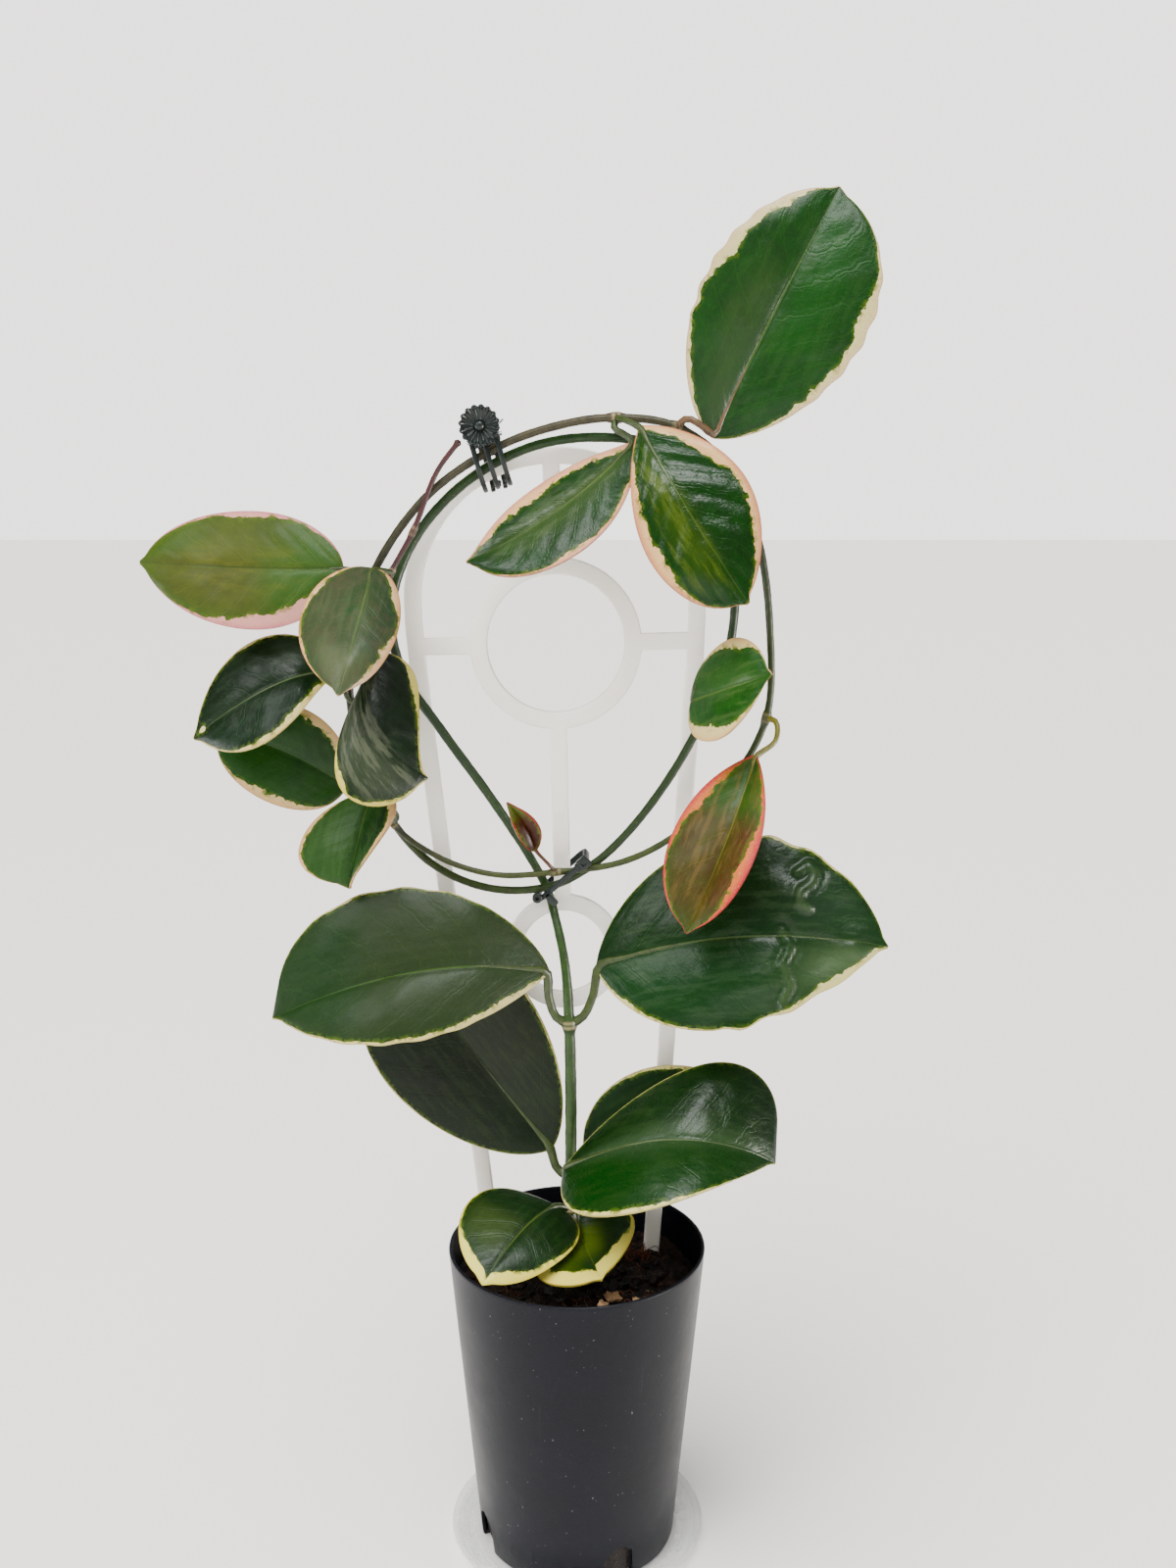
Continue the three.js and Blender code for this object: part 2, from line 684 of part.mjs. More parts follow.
// Bark and coir mix that fills the pot, uneven on top, with plain holes for the stem and the legs
function makeSoil() {
  const draw = randomDraws(7);
  const floor = pot.foot + pot.floor + gap;
  const clear = pot.wall + soil.wallClearance;
  const { rings, segments } = soil;
  const outside = potRadiusAt(soil.level) - clear;
  const profile = [[0, floor], [potRadiusAt(floor) - clear, floor]];
  for (let ring = 0; ring <= rings; ring++) {
    profile.push([outside * (1 - ring / rings), soil.level]);
  }
  const body = lathe(profile, segments);
  const position = body.attributes.position;
  const bumps = Array.from({ length: segments * rings }, () => (draw() - 0.4) * 2 * soil.roughness);
  for (let i = 0; i < position.count; i++) {
    const radius = Math.hypot(position.getX(i), position.getY(i));
    if (position.getZ(i) > soil.level - 0.01 && radius < outside - 0.01) {
      const column = i % (segments * rings);
      const centreOrSeam = radius < 0.01 || Math.abs(position.getX(i)) < 0.01;
      position.setZ(i, soil.level + (centreOrSeam ? 0 : bumps[column]));
    }
  }
  const chips = Array.from({ length: soil.chips }, () => {
    const turn = 2 * Math.PI * draw();
    const reach = (outside - 5) * Math.sqrt(draw());
    const size = THREE.MathUtils.lerp(soil.smallestChip, soil.largestChip, draw());
    const chip = new THREE.BoxGeometry(size, 0.62 * size, 0.7 * size);
    chip.rotateX(draw() * 2).rotateY(draw() * 2).rotateZ(draw() * 6);
    chip.translate(reach * Math.cos(turn), reach * Math.sin(turn), soil.level + 0.3);
    return solidOf(chip);
  });
  const half = trellis.bar / 2 + gap + 0.1;
  const low = trellis.footHeight - 1;
  const high = soil.level + 12;
  const legHoles = [-1, 1].map((side) => {
    const outline = polygon([
      [side * legSpreadAt(low) - half, low],
      [side * legSpreadAt(low) + half, low],
      [side * legSpreadAt(high) + half, high],
      [side * legSpreadAt(high) - half, high],
    ]);
    return solidOf(leaned(standingPlate(outline, trellis.thickness + 2 * gap + 0.2, 0)));
  });
  const [stemX, stemY, stemFoot] = vineRoute[0];
  const depth = 40;
  const stemHole = new THREE.CylinderGeometry(soil.stemHoleRadius, soil.stemHoleRadius, depth, 12);
  stemHole.rotateX(Math.PI / 2).translate(stemX, stemY, stemFoot - 2 * gap + depth / 2);
  const filled = joined([solidOf(body), ...chips]);
  return filled.subtract(joined([...legHoles, solidOf(stemHole)]));
}

// A curved prong seen from the side as a middle line in Y and Z, cut from flat stock across X
function prong(line, thickness, width, x) {
  const curve = new THREE.SplineCurve(line.map(([y, z]) => new THREE.Vector2(y, z)));
  const steps = 9;
  const side = (sign) =>
    Array.from({ length: steps + 1 }, (_, i) => {
      const point = curve.getPoint(i / steps);
      const along = curve.getTangent(i / steps);
      const half = (thickness / 2) * (1 - 0.35 * (i / steps));
      return new THREE.Vector2(point.x - sign * along.y * half, point.y + sign * along.x * half);
    });
  const outline = new THREE.Shape([...side(1), ...side(-1).reverse()]);
  const geometry = new THREE.ExtrudeGeometry(outline, { depth: width, bevelEnabled: false });
  return acrossX(geometry, x - width / 2);
}

// Turns a plate drawn in Y and Z, extruded along its own third axis, so that it is extruded along X
function acrossX(geometry, x) {
  const turned = new THREE.Matrix4().set(0, 0, 1, x, 1, 0, 0, 0, 0, 1, 0, 0, 0, 0, 0, 1);
  return geometry.applyMatrix4(turned);
}

// A lug with a round hole for the pin, its arm reaching to the body plate in front or behind
function lug(x, width, arm) {
  const eye = 1.9;
  const reach = Math.abs(arm);
  const shape = new THREE.Shape();
  shape.moveTo(reach, eye);
  shape.lineTo(0, eye);
  shape.absarc(0, 0, eye, Math.PI / 2, 1.5 * Math.PI, false);
  shape.lineTo(reach, -eye);
  shape.closePath();
  const hole = new THREE.Path();
  hole.absarc(0, 0, clip.pinRadius + gap, 0, 2 * Math.PI, true);
  shape.holes.push(hole);
  const geometry = new THREE.ExtrudeGeometry(shape, { depth: width, bevelEnabled: false, curveSegments: 8 });
  const turned = acrossX(geometry, x - width / 2);
  return arm < 0 ? turned.rotateX(Math.PI) : turned;
}

// Fluted flower head that faces -Y, its petals alternating between crest and valley
function flower(radius) {
  const count = 2 * clip.petals;
  const profile = [
    [0, -0.7],
    [radius * 0.8, -0.7],
    [radius, 0.1],
    [radius * 0.9, 0.75],
    [radius * 0.34, 0.2],
    [radius * 0.26, 1.5],
    [0, 1.9],
  ];
  const geometry = new THREE.LatheGeometry(
    profile.map(([r, z]) => new THREE.Vector2(r, z)),
    count,
  );
  const position = geometry.attributes.position;
  for (let i = 0; i < position.count; i++) {
    const x = position.getX(i);
    const z = position.getZ(i);
    const out = Math.hypot(x, z);
    const turn = Math.round((Math.atan2(x, z) / (2 * Math.PI)) * count);
    if (out > radius * 0.6 && Math.abs(turn) % 2 === 1) {
      const pull = (out - 0.55) / out;
      position.setXYZ(i, x * pull, position.getY(i) - 0.3, z * pull);
    }
  }
  return geometry.rotateX(Math.PI);
}

function plate(x, y, z) {
  const box = new THREE.BoxGeometry(x[1] - x[0], y[1] - y[0], z[1] - z[0]);
  return box.translate((x[0] + x[1]) / 2, (y[0] + y[1]) / 2, (z[0] + z[1]) / 2);
}

// Front jaw of the flower clip: flower, plate, two outer lugs and three teeth
function makeFrontJaw() {
  const line = [[-6.4, -1], [-7, -5], [-7.2, -9], [-6, -13], [-3.4, -15.6], [-0.8, -16.8]];
  const teeth = [-4.2, 0, 4.2].map((x) => prong(line, 1.8, clip.toothWidth, x));
  const head = flower(clip.flowerRadius).translate(0, -7.9, 3.6);
  return joined(
    [
      head,
      plate([-5.1, 5.1], [-7.4, -5.7], [-3, 1.9]),
      lug(-4.5, 1.2, -6.5),
      lug(4.5, 1.2, -6.5),
      ...teeth,
    ].map(solidOf),
  );
}

// Rear jaw: plain round handle, plate, two inner lugs and two teeth that reach between the front ones
function makeRearJaw() {
  const line = [[9.4, -1], [9.8, -5], [9.8, -9.5], [8.9, -13.4], [6, -16], [2.6, -17]];
  const teeth = [-2.1, 2.1].map((x) => prong(line, 1.6, clip.toothWidth, x));
  const handle = new THREE.CylinderGeometry(5.6, 5.6, 1.5, 24).translate(0, 9.4, 4.4);
  return joined(
    [
      handle,
      plate([-3.5, 3.5], [8.6, 10.1], [-3, 1.9]),
      lug(-2.9, 1.2, 9),
      lug(2.9, 1.2, 9),
      ...teeth,
    ].map(solidOf),
  );
}

function makePin() {
  const pin = new THREE.CylinderGeometry(clip.pinRadius, clip.pinRadius, clip.pinLength, 14);
  return solidOf(pin.rotateZ(Math.PI / 2));
}

// Torsion spring: three turns of wire round the pin, one leg behind each handle
function makeSpring() {
  const turns = 3;
  const perTurn = 10;
  const radius = 1.6;
  const reach = 1.45;
  const points = [
    new THREE.Vector3(7.6, -2, 4),
    new THREE.Vector3(5.6, -0.3, 3.1),
    new THREE.Vector3(2.6, -0.2, 2.9),
  ];
  for (let i = 0; i <= turns * perTurn; i++) {
    const angle = (2 * Math.PI * i) / perTurn;
    const x = reach - (2 * reach * i) / (turns * perTurn);
    points.push(new THREE.Vector3(x, radius * Math.sin(angle), radius * Math.cos(angle)));
  }
  points.push(new THREE.Vector3(-1.6, 2.4, 2.6));
  points.push(new THREE.Vector3(-1.6, 6.6, 4.2));
  const curve = new THREE.CatmullRomCurve3(points, false, "centripetal");
  return solidOf(taperedTube(curve, () => 0.3, evenShares(56), 5));
}

// One moulded tie: a flat band round the stems and the trellis bar, its head, its peg and end loop
function makeTie() {
  const { innerLength, innerDepth, wall, width } = tie;
  const corner = 3;
  const racetrack = (grow, path) => {
    const x = innerLength / 2 + grow;
    const y = innerDepth / 2 + grow;
    const r = corner + grow;
    path.moveTo(x, -y + r);
    path.lineTo(x, y - r);
    path.absarc(x - r, y - r, r, 0, Math.PI / 2, false);
    path.absarc(-x + r, y - r, r, Math.PI / 2, Math.PI, false);
    path.absarc(-x + r, -y + r, r, Math.PI, 1.5 * Math.PI, false);
    path.absarc(x - r, -y + r, r, 1.5 * Math.PI, 2 * Math.PI, false);
    return path;
  };
  const outline = racetrack(wall, new THREE.Shape());
  outline.holes.push(racetrack(0, new THREE.Path()));
  const band = new THREE.ExtrudeGeometry(outline, { depth: width, bevelEnabled: false, curveSegments: 5 });
  band.translate(0, 0, -width / 2);
  const front = -innerDepth / 2 - wall;
  const end = innerLength / 2 + wall;
  const head = plate([end - 3.6, end + 0.4], [front - 1.6, front + 1], [-1.9, 2.1]);
  const peg = plate([-end + 3.6, -end + 6], [front - 1.3, front + 1], [-4.8, 0.6]);
  const loop = new THREE.CylinderGeometry(1.7, 1.7, 2.4, 12).translate(-end + 1.4, front + 0.2, 1.2);
  return joined([band, head, peg, loop].map(solidOf));
}

const root = new THREE.Group();
root.add(piece("saucer", makeSaucer(), colours.saucer, 0.15));
root.add(piece("pot", makePot(), colours.pot, 0.5));
root.add(piece("soil", makeSoil(), colours.soil, 0.95));
root.add(piece("trellis", makeTrellis(), colours.trellis, 0.5));
root.add(piece("vine", makeVine(), colours.vine, 0.55));

for (const [name, leaf] of Object.entries(leaves)) {
  root.add(piece(name, makeLeaf(leaf), youngColours[name] ?? bladeColour, 0.35));
}

const flowerClip = new THREE.Group();
flowerClip.position.set(...clip.hinge);
flowerClip.rotation.y = clip.tilt;
flowerClip.add(piece("clip_front_jaw", makeFrontJaw(), colours.clip, 0.5));
flowerClip.add(piece("clip_rear_jaw", makeRearJaw(), colours.clip, 0.5));
flowerClip.add(piece("clip_pin", makePin(), colours.steel, 0.3, 1));
flowerClip.add(piece("clip_spring", makeSpring(), colours.steel, 0.3, 1));
root.add(flowerClip);

const tieClip = new THREE.Group();
tieClip.position.set(...tie.centre);
tieClip.rotation.y = -tie.slope;
tieClip.add(piece("tie_clip", makeTie(), colours.clip, 0.5));
root.add(tieClip);

export default root;
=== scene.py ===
# A potted Hoya australis on a small white trellis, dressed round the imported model.
# Sizes are in millimetres and are turned to metres where a mesh is placed.
import bpy
import math
import random
from functools import partial
import numpy as np
from mathutils import Matrix, Vector


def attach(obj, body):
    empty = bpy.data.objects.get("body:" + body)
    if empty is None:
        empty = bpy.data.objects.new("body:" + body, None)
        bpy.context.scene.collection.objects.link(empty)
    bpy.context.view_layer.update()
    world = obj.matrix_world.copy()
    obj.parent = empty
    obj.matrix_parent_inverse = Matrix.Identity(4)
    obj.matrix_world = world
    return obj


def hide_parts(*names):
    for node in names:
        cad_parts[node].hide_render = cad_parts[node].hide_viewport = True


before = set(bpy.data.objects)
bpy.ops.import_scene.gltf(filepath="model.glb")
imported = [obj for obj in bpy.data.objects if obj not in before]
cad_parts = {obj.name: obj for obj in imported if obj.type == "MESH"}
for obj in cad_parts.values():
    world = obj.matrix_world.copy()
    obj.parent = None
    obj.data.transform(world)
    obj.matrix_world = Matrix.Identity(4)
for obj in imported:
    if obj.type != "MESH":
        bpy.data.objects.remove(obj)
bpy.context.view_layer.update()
print("stage: frame loaded")

millimetre = 0.001


# Small helpers for selection, meshes and modifiers

def deselectAll():
    if bpy.context.mode != "OBJECT":
        bpy.ops.object.mode_set(mode="OBJECT")
    bpy.ops.object.select_all(action="DESELECT")


def makeActive(piece):
    deselectAll()
    piece.select_set(True)
    bpy.context.view_layer.objects.active = piece


def pointsOf(piece):
    flat = np.empty(len(piece.data.vertices) * 3)
    piece.data.vertices.foreach_get("co", flat)
    return flat.reshape(-1, 3)


def placePoints(piece, points):
    piece.data.vertices.foreach_set("co", np.asarray(points, dtype=float).ravel())
    piece.data.update()


def applyModifier(piece, kind, **settings):
    makeActive(piece)
    modifier = piece.modifiers.new(kind.lower(), kind)
    for key, value in settings.items():
        setattr(modifier, key, value)
    bpy.ops.object.modifier_apply(modifier=modifier.name)


def joinPieces(pieces, name):
    deselectAll()
    for piece in pieces:
        piece.select_set(True)
    bpy.context.view_layer.objects.active = pieces[0]
    if len(pieces) > 1:
        bpy.ops.object.join()
    pieces[0].name = name
    pieces[0].data.name = name
    return pieces[0]


def smoothShade(piece, degrees=None):
    makeActive(piece)
    if degrees is None:
        bpy.ops.object.shade_smooth()
    else:
        bpy.ops.object.shade_smooth_by_angle(angle=math.radians(degrees))


def tidyMesh(piece):
    # doubles are merged, open ends closed, and then the faces are turned outwards
    makeActive(piece)
    bpy.ops.object.mode_set(mode="EDIT")
    bpy.ops.mesh.select_mode(type="VERT")
    bpy.ops.mesh.select_all(action="SELECT")
    bpy.ops.mesh.remove_doubles(threshold=0.01 * millimetre)
    bpy.ops.mesh.fill_holes(sides=0)
    bpy.ops.mesh.select_all(action="SELECT")
    bpy.ops.mesh.normals_make_consistent(inside=False)
    bpy.ops.object.mode_set(mode="OBJECT")


def addFloats(piece, name, values):
    attribute = piece.data.attributes.new(name, "FLOAT", "POINT")
    attribute.data.foreach_set("value", np.asarray(values, dtype=float))


def addTints(piece, name, colours):
    attribute = piece.data.attributes.new(name, "FLOAT_COLOR", "POINT")
    attribute.data.foreach_set("color", np.asarray(colours, dtype=float).ravel())


def flatGrid(name, columns, rows):
    # a unit grid, with the share across and the share along of each of its points
    deselectAll()
    bpy.ops.mesh.primitive_grid_add(x_subdivisions=columns, y_subdivisions=rows, size=1)
    piece = bpy.context.object
    piece.name = name
    piece.data.name = name
    flat = pointsOf(piece) + 0.5
    return piece, flat[:, 0], flat[:, 1]


def finished(piece, body, node):
    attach(piece, body)
    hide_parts(node)


# Curves

def throughPoints(points, count):
    # a centripetal curve through the points, sampled evenly along its length
    given = np.asarray(points, dtype=float)
    before = 2 * given[0] - given[1]
    after = 2 * given[-1] - given[-2]
    chain = np.vstack([before, given, after])
    samples = []
    for i in range(len(given) - 1):
        p0, p1, p2, p3 = chain[i:i + 4]
        d0 = np.linalg.norm(p1 - p0) ** 0.5
        d1 = np.linalg.norm(p2 - p1) ** 0.5
        d2 = np.linalg.norm(p3 - p2) ** 0.5
        t1 = ((p1 - p0) / d0 - (p2 - p0) / (d0 + d1) + (p2 - p1) / d1) * d1
        t2 = ((p2 - p1) / d1 - (p3 - p1) / (d1 + d2) + (p3 - p2) / d2) * d1
        w = np.linspace(0, 1, 24, endpoint=False)[:, None]
        samples.append(
            p1 + t1 * w + (3 * (p2 - p1) - 2 * t1 - t2) * w ** 2 + (2 * (p1 - p2) + t1 + t2) * w ** 3)
    samples.append(given[-1:])
    line = np.vstack(samples)
    knots = np.append(np.arange(len(line) - 1) / 24.0, len(given) - 1)
    run = np.append(0, np.cumsum(np.linalg.norm(np.diff(line, axis=0), axis=1)))
    even = np.linspace(0, run[-1], count)
    spaced = np.stack([np.interp(even, run, line[:, k]) for k in range(3)], axis=1)
    return spaced, np.interp(even, run, knots), even


def carriedFrames(path):
    # two directions square to the path at each point, carried along it without twist
    along = np.gradient(path, axis=0)
    along /= np.linalg.norm(along, axis=1)[:, None]
    side = np.cross(along[0], (0.3, 1.0, 0.2))
    sides = []
    for direction in along:
        side = side - direction * np.dot(side, direction)
        side = side / np.linalg.norm(side)
        sides.append(side)
    sides = np.array(sides)
    return sides, np.cross(along, sides)


def sweptTube(name, path, radii, sides):
    # a grid rolled round a path: its long side follows the path, its short side goes round it
    rings = len(path)
    piece, around, along = flatGrid(name, sides, rings - 1)
    first, second = carriedFrames(np.asarray(path))
    ring = np.rint(along * (rings - 1)).astype(int)
    turn = 2 * np.pi * around
    radius = np.broadcast_to(radii, (rings,))[ring][:, None]
    points = np.asarray(path)[ring] + radius * (
        np.cos(turn)[:, None] * first[ring] + np.sin(turn)[:, None] * second[ring])
    placePoints(piece, points * millimetre)
    addFloats(piece, "ring", ring)
    return piece


# Materials

def linearColour(text):
    channels = [int(text[i:i + 2], 16) / 255 for i in (0, 2, 4)]
    turned = [c / 12.92 if c <= 0.04045 else ((c + 0.055) / 1.055) ** 2.4 for c in channels]
    return (*turned, 1.0)


def strongerHue(text, depth, saturation):
    # the plant stands in strong light, so its own colours are deeper and fuller than they look there
    colour = np.array(linearColour(text)[:3])
    grey = colour @ np.array((0.2126, 0.7152, 0.0722))
    return np.append(np.clip(depth * (grey + saturation * (colour - grey)), 0.0012, 1.0), 1.0)


# what every node of one kind has here: its settings, and the output that is read
usualSettings = {"MapRange": {"interpolation_type": "SMOOTHSTEP"}, "Mix": {"data_type": "RGBA"}}
usualOutput = {"Mix": 2, "Attribute": "Fac", "TexCoord": "Object"}


def addNode(tree, kind, inputs=(), output=None, **settings):
    # a node with its settings, its inputs set or linked in their order or by name; gives one output
    node = tree.nodes.new("ShaderNode" + kind)
    for key, value in {**usualSettings.get(kind, {}), **settings}.items():
        setattr(node, key, value)
    for socket, value in inputs.items() if isinstance(inputs, dict) else enumerate(inputs):
        if isinstance(value, bpy.types.NodeSocket):
            tree.links.new(value, node.inputs[socket])
        else:
            node.inputs[socket].default_value = value
    if len(node.outputs):
        return node.outputs[usualOutput.get(kind, 0) if output is None else output]


def newMaterial(name):
    # gives the material, the way to add a node to it, and the place on the piece as its first node.
    # A noise scale is 1000 over the size of its blotches in millimetres, and relief is in millimetres.
    material = bpy.data.materials.new(name)
    material.use_nodes = True
    material.node_tree.nodes.clear()
    add = partial(addNode, material.node_tree)
    return material, add, add("TexCoord")


# Vine: the route of the part's own stem, in millimetres, with the radius at each point

vine = {
    "sides": 20,
    "rings": 1500,
    "swelling": 0.35,
    "swellingHalfLength": 3.0,
    "collar": 0.12,
    "collarAt": 0.9,
    "collarWidth": 0.35,
    "budSwelling": 0.6,
    "budLength": 1.6,
    "endRadius": 0.5,
    "route": [
        (-1, 0, 85, 2), (-1.5, 0, 122, 2), (-2, 0, 134, 2), (-2, 0, 164, 2), (-2.5, 0, 190.5, 1.9),
        (-4, 3, 211, 1.55), (-7.5, 10, 226, 1.5), (-10.5, 16, 234.5, 1.5), (-16.5, 16.2, 246, 1.5),
        (-30, 14.5, 267.5, 1.6), (-46, 13.2, 290.5, 1.6), (-59, 12.5, 311, 1.6), (-62, 13, 331, 1.6),
        (-55, 14.3, 352.5, 1.6), (-38.5, 14.5, 371.5, 1.6), (-16, 14.5, 384, 1.55), (6, 14.5, 387.5, 1.55),
        (28, 14.5, 384, 1.55), (45, 14, 367.5, 1.55), (52.5, 13.2, 344, 1.5), (51, 13, 316, 1.5),
        (38, 12, 285, 1.45), (20, 12, 258, 1.4), (5, 12, 243.4, 1.4), (-10, 12.4, 235.8, 1.35),
        (-31, 12.5, 235.5, 1.35), (-51, 12, 245, 1.35), (-67, 11.4, 266, 1.35), (-75.5, 11, 293, 1.35),
        (-75, 11, 322, 1.35), (-66, 11, 346, 1.35), (-49, 10.8, 368.5, 1.35), (-27, 10.4, 383.5, 1.35),
        (-6, 10.4, 391, 1.35), (13, 10.4, 393.5, 1.35), (33, 10.4, 390.6, 1.3), (50, 10, 377.5, 1.3),
        (60, 10, 354.5, 1.3), (64.5, 10, 326, 1.25), (64, 10, 295, 1.2), (52, 9.5, 272.5, 1.15),
        (34, 9, 255, 1.1), (16, 8.8, 245.6, 1.1), (-7, 8.5, 242, 1.05), (-28, 9, 241, 1),
        (-47, 9, 247, 1), (-62.5, 8.5, 259, 1), (-70, 8, 278, 0.95), (-71.5, 7.5, 300, 0.95),
        (-67.5, 7.5, 325, 0.9), (-61, 7.5, 343.5, 0.9), (-53.5, 7.5, 357, 0.9), (-45.4, 8.2, 376.2, 0.85),
        (-37.9, 8.6, 386.2, 0.85),
    ],
    "joints": {
        "lowest": 1, "low": 2, "pair": 4, "rightInner": 20, "leftLow": 27, "top": 34, "topRight": 35,
        "right": 39, "middle": 43, "leftTwin": 46, "leftRise": 48, "leftHigh": 49, "shoot": 50,
        "shootTop": 51,
    },
    # stem colour at points of the route, older wood first
    "tints": [
        (0, "3c5326"), (4, "35551f"), (10, "26401b"), (16, "27471c"), (22, "2b421c"), (26, "3f4f22"),
        (30, "3b3a26"), (34, "57503a"), (37, "33401f"), (41, "43531f"), (44, "4a5223"), (47, "3a3a20"),
        (49, "4b2b2a"), (52, "552c2e"),
    ],
    "scarTint": "a4906a",
}

stemPath, stemKnots, stemRun = throughPoints([p[:3] for p in vine["route"]], vine["rings"])


def makeStemMaterial():
    # Young green bark, smooth and a little waxy: satin, with fine lengthwise streaks and corky dots
    material, add, place = newMaterial("greenBark")
    streak = add("TexNoise", {"Vector": place, "Scale": 1000 / 3, "Detail": 3, "Roughness": 0.6})
    speckle = add("TexNoise", {"Vector": place, "Scale": 1000 / 0.9})
    body = add("Attribute", output="Color", attribute_name="tint")
    for share, colour in (
            (add("MapRange", (streak, 0.35, 0.7, 0, 0.45)), "0c1508"),
            (add("MapRange", (speckle, 0.68, 0.74, 0, 0.6)), "6e4f2e"),
            (add("Attribute", attribute_name="scar"), vine["scarTint"])):
        body = add("Mix", {0: share, 6: body, 7: linearColour(colour)})
    corky = add("MapRange", (speckle, 0.68, 0.74, 0, 0.03))
    height = add("Math", (streak, 0.05, corky), operation="MULTIPLY_ADD")
    shader = add("BsdfPrincipled", {
        "Base Color": body,
        "Roughness": add("MapRange", (streak, 0.2, 0.8, 0.34, 0.5)),
        "IOR": 1.45,
        "Specular IOR Level": 0.4,
        "Normal": add("Bump", {"Height": height, "Distance": millimetre})})
    add("OutputMaterial", {"Surface": shader})
    return material


stemMaterial = makeStemMaterial()


def makeVine():
    radii = np.interp(stemKnots, range(len(vine["route"])), [p[3] for p in vine["route"]])
    jointRuns = np.interp(list(vine["joints"].values()), stemKnots, stemRun)
    nearest = np.abs(stemRun[:, None] - jointRuns[None, :]).min(axis=1)
    rise = np.clip(1 - (nearest / vine["swellingHalfLength"]) ** 2, 0, None)
    collar = np.exp(-(((nearest - vine["collarAt"]) / vine["collarWidth"]) ** 2))
    wobble = 0.02 * np.sin(stemRun * 0.61) + 0.015 * np.sin(stemRun * 1.7 + 2)
    radii = radii * (1 + vine["swelling"] * rise + vine["collar"] * collar + wobble)
    bud = np.exp(-(((stemRun[-1] - stemRun) / vine["budLength"]) ** 2))
    radii = radii + vine["budSwelling"] * bud
    radii[-1] = vine["endRadius"]
    piece = sweptTube("vine_stem", stemPath, radii, vine["sides"])
    ring = np.empty(len(piece.data.vertices))
    piece.data.attributes["ring"].data.foreach_get("value", ring)
    ring = ring.astype(int)
    stations = [index for index, _ in vine["tints"]]
    hues = np.array([strongerHue(text, 0.55, 1.15) for _, text in vine["tints"]])
    tint = np.stack([np.interp(stemKnots[ring], stations, hues[:, k]) for k in range(4)], axis=1)
    addTints(piece, "tint", tint)
    worn = np.random.default_rng(3).random(len(collar)) * 0.3 + 0.7
    addFloats(piece, "scar", (0.75 * collar * worn)[ring])
    tidyMesh(piece)
    smoothShade(piece)
    piece.data.materials.append(stemMaterial)
    finished(piece, "plant", "vine")


makeVine()
print("stage: vine made")


# Leaves. points: base, middle, tip, left edge and right edge of the blade, as in the part, with left
# and right as seen from above with the tip away. forms: how fast each edge leaves the base and closes
# at the tip. margins: width of the cream edge at nine places from base to tip, left and then right.
# hues: green, second green, cream, blush. washes: a colour laid over part of the green, between two
# shares along and two shares across (-1 left edge to 1 right edge), with its strength, and sometimes
# how soft its border is; most are tones of the leaf itself, and some are painted sheen and painted
# highlights where light falls on the wax. patches: cream spots by share along, share across and
# radius. ribs: colour of the midrib and the side veins. pucker: height of the crumple. dull: roughness
# of the wax. sheen: a paler colour laid in streaks over the green as painted sheen, with how much of it
# there is and the part of the blade it covers. dents: share along, share across, radius and height.
# scars: raised lines, each by shares along and across. lobes: bays of an edge by side, number along
# the blade, depth as a share of the width, and where they are.

blade = {
    "rowsPerMm": 1.15,
    "columnsPerMm": 1.05,
    "thickness": 0.95,
    "endHalfWidth": 0.35,
    "crown": 0.09,
    "ripples": 9,
    "veins": 7.5,
    "veinSweep": 0.28,
    "stalkSides": 14,
    "stalkRings": 40,
    "tipPoint": 1.6,
    # the part of the blade streaked with painted sheen, and the colour of that sheen, where a leaf gives
    # none
    "sheenStreakPart": (0.05, 0.95, -0.9, 0.9),
    "sheen": "6f8f62",
    "stalkHue": "4c5c30",
}

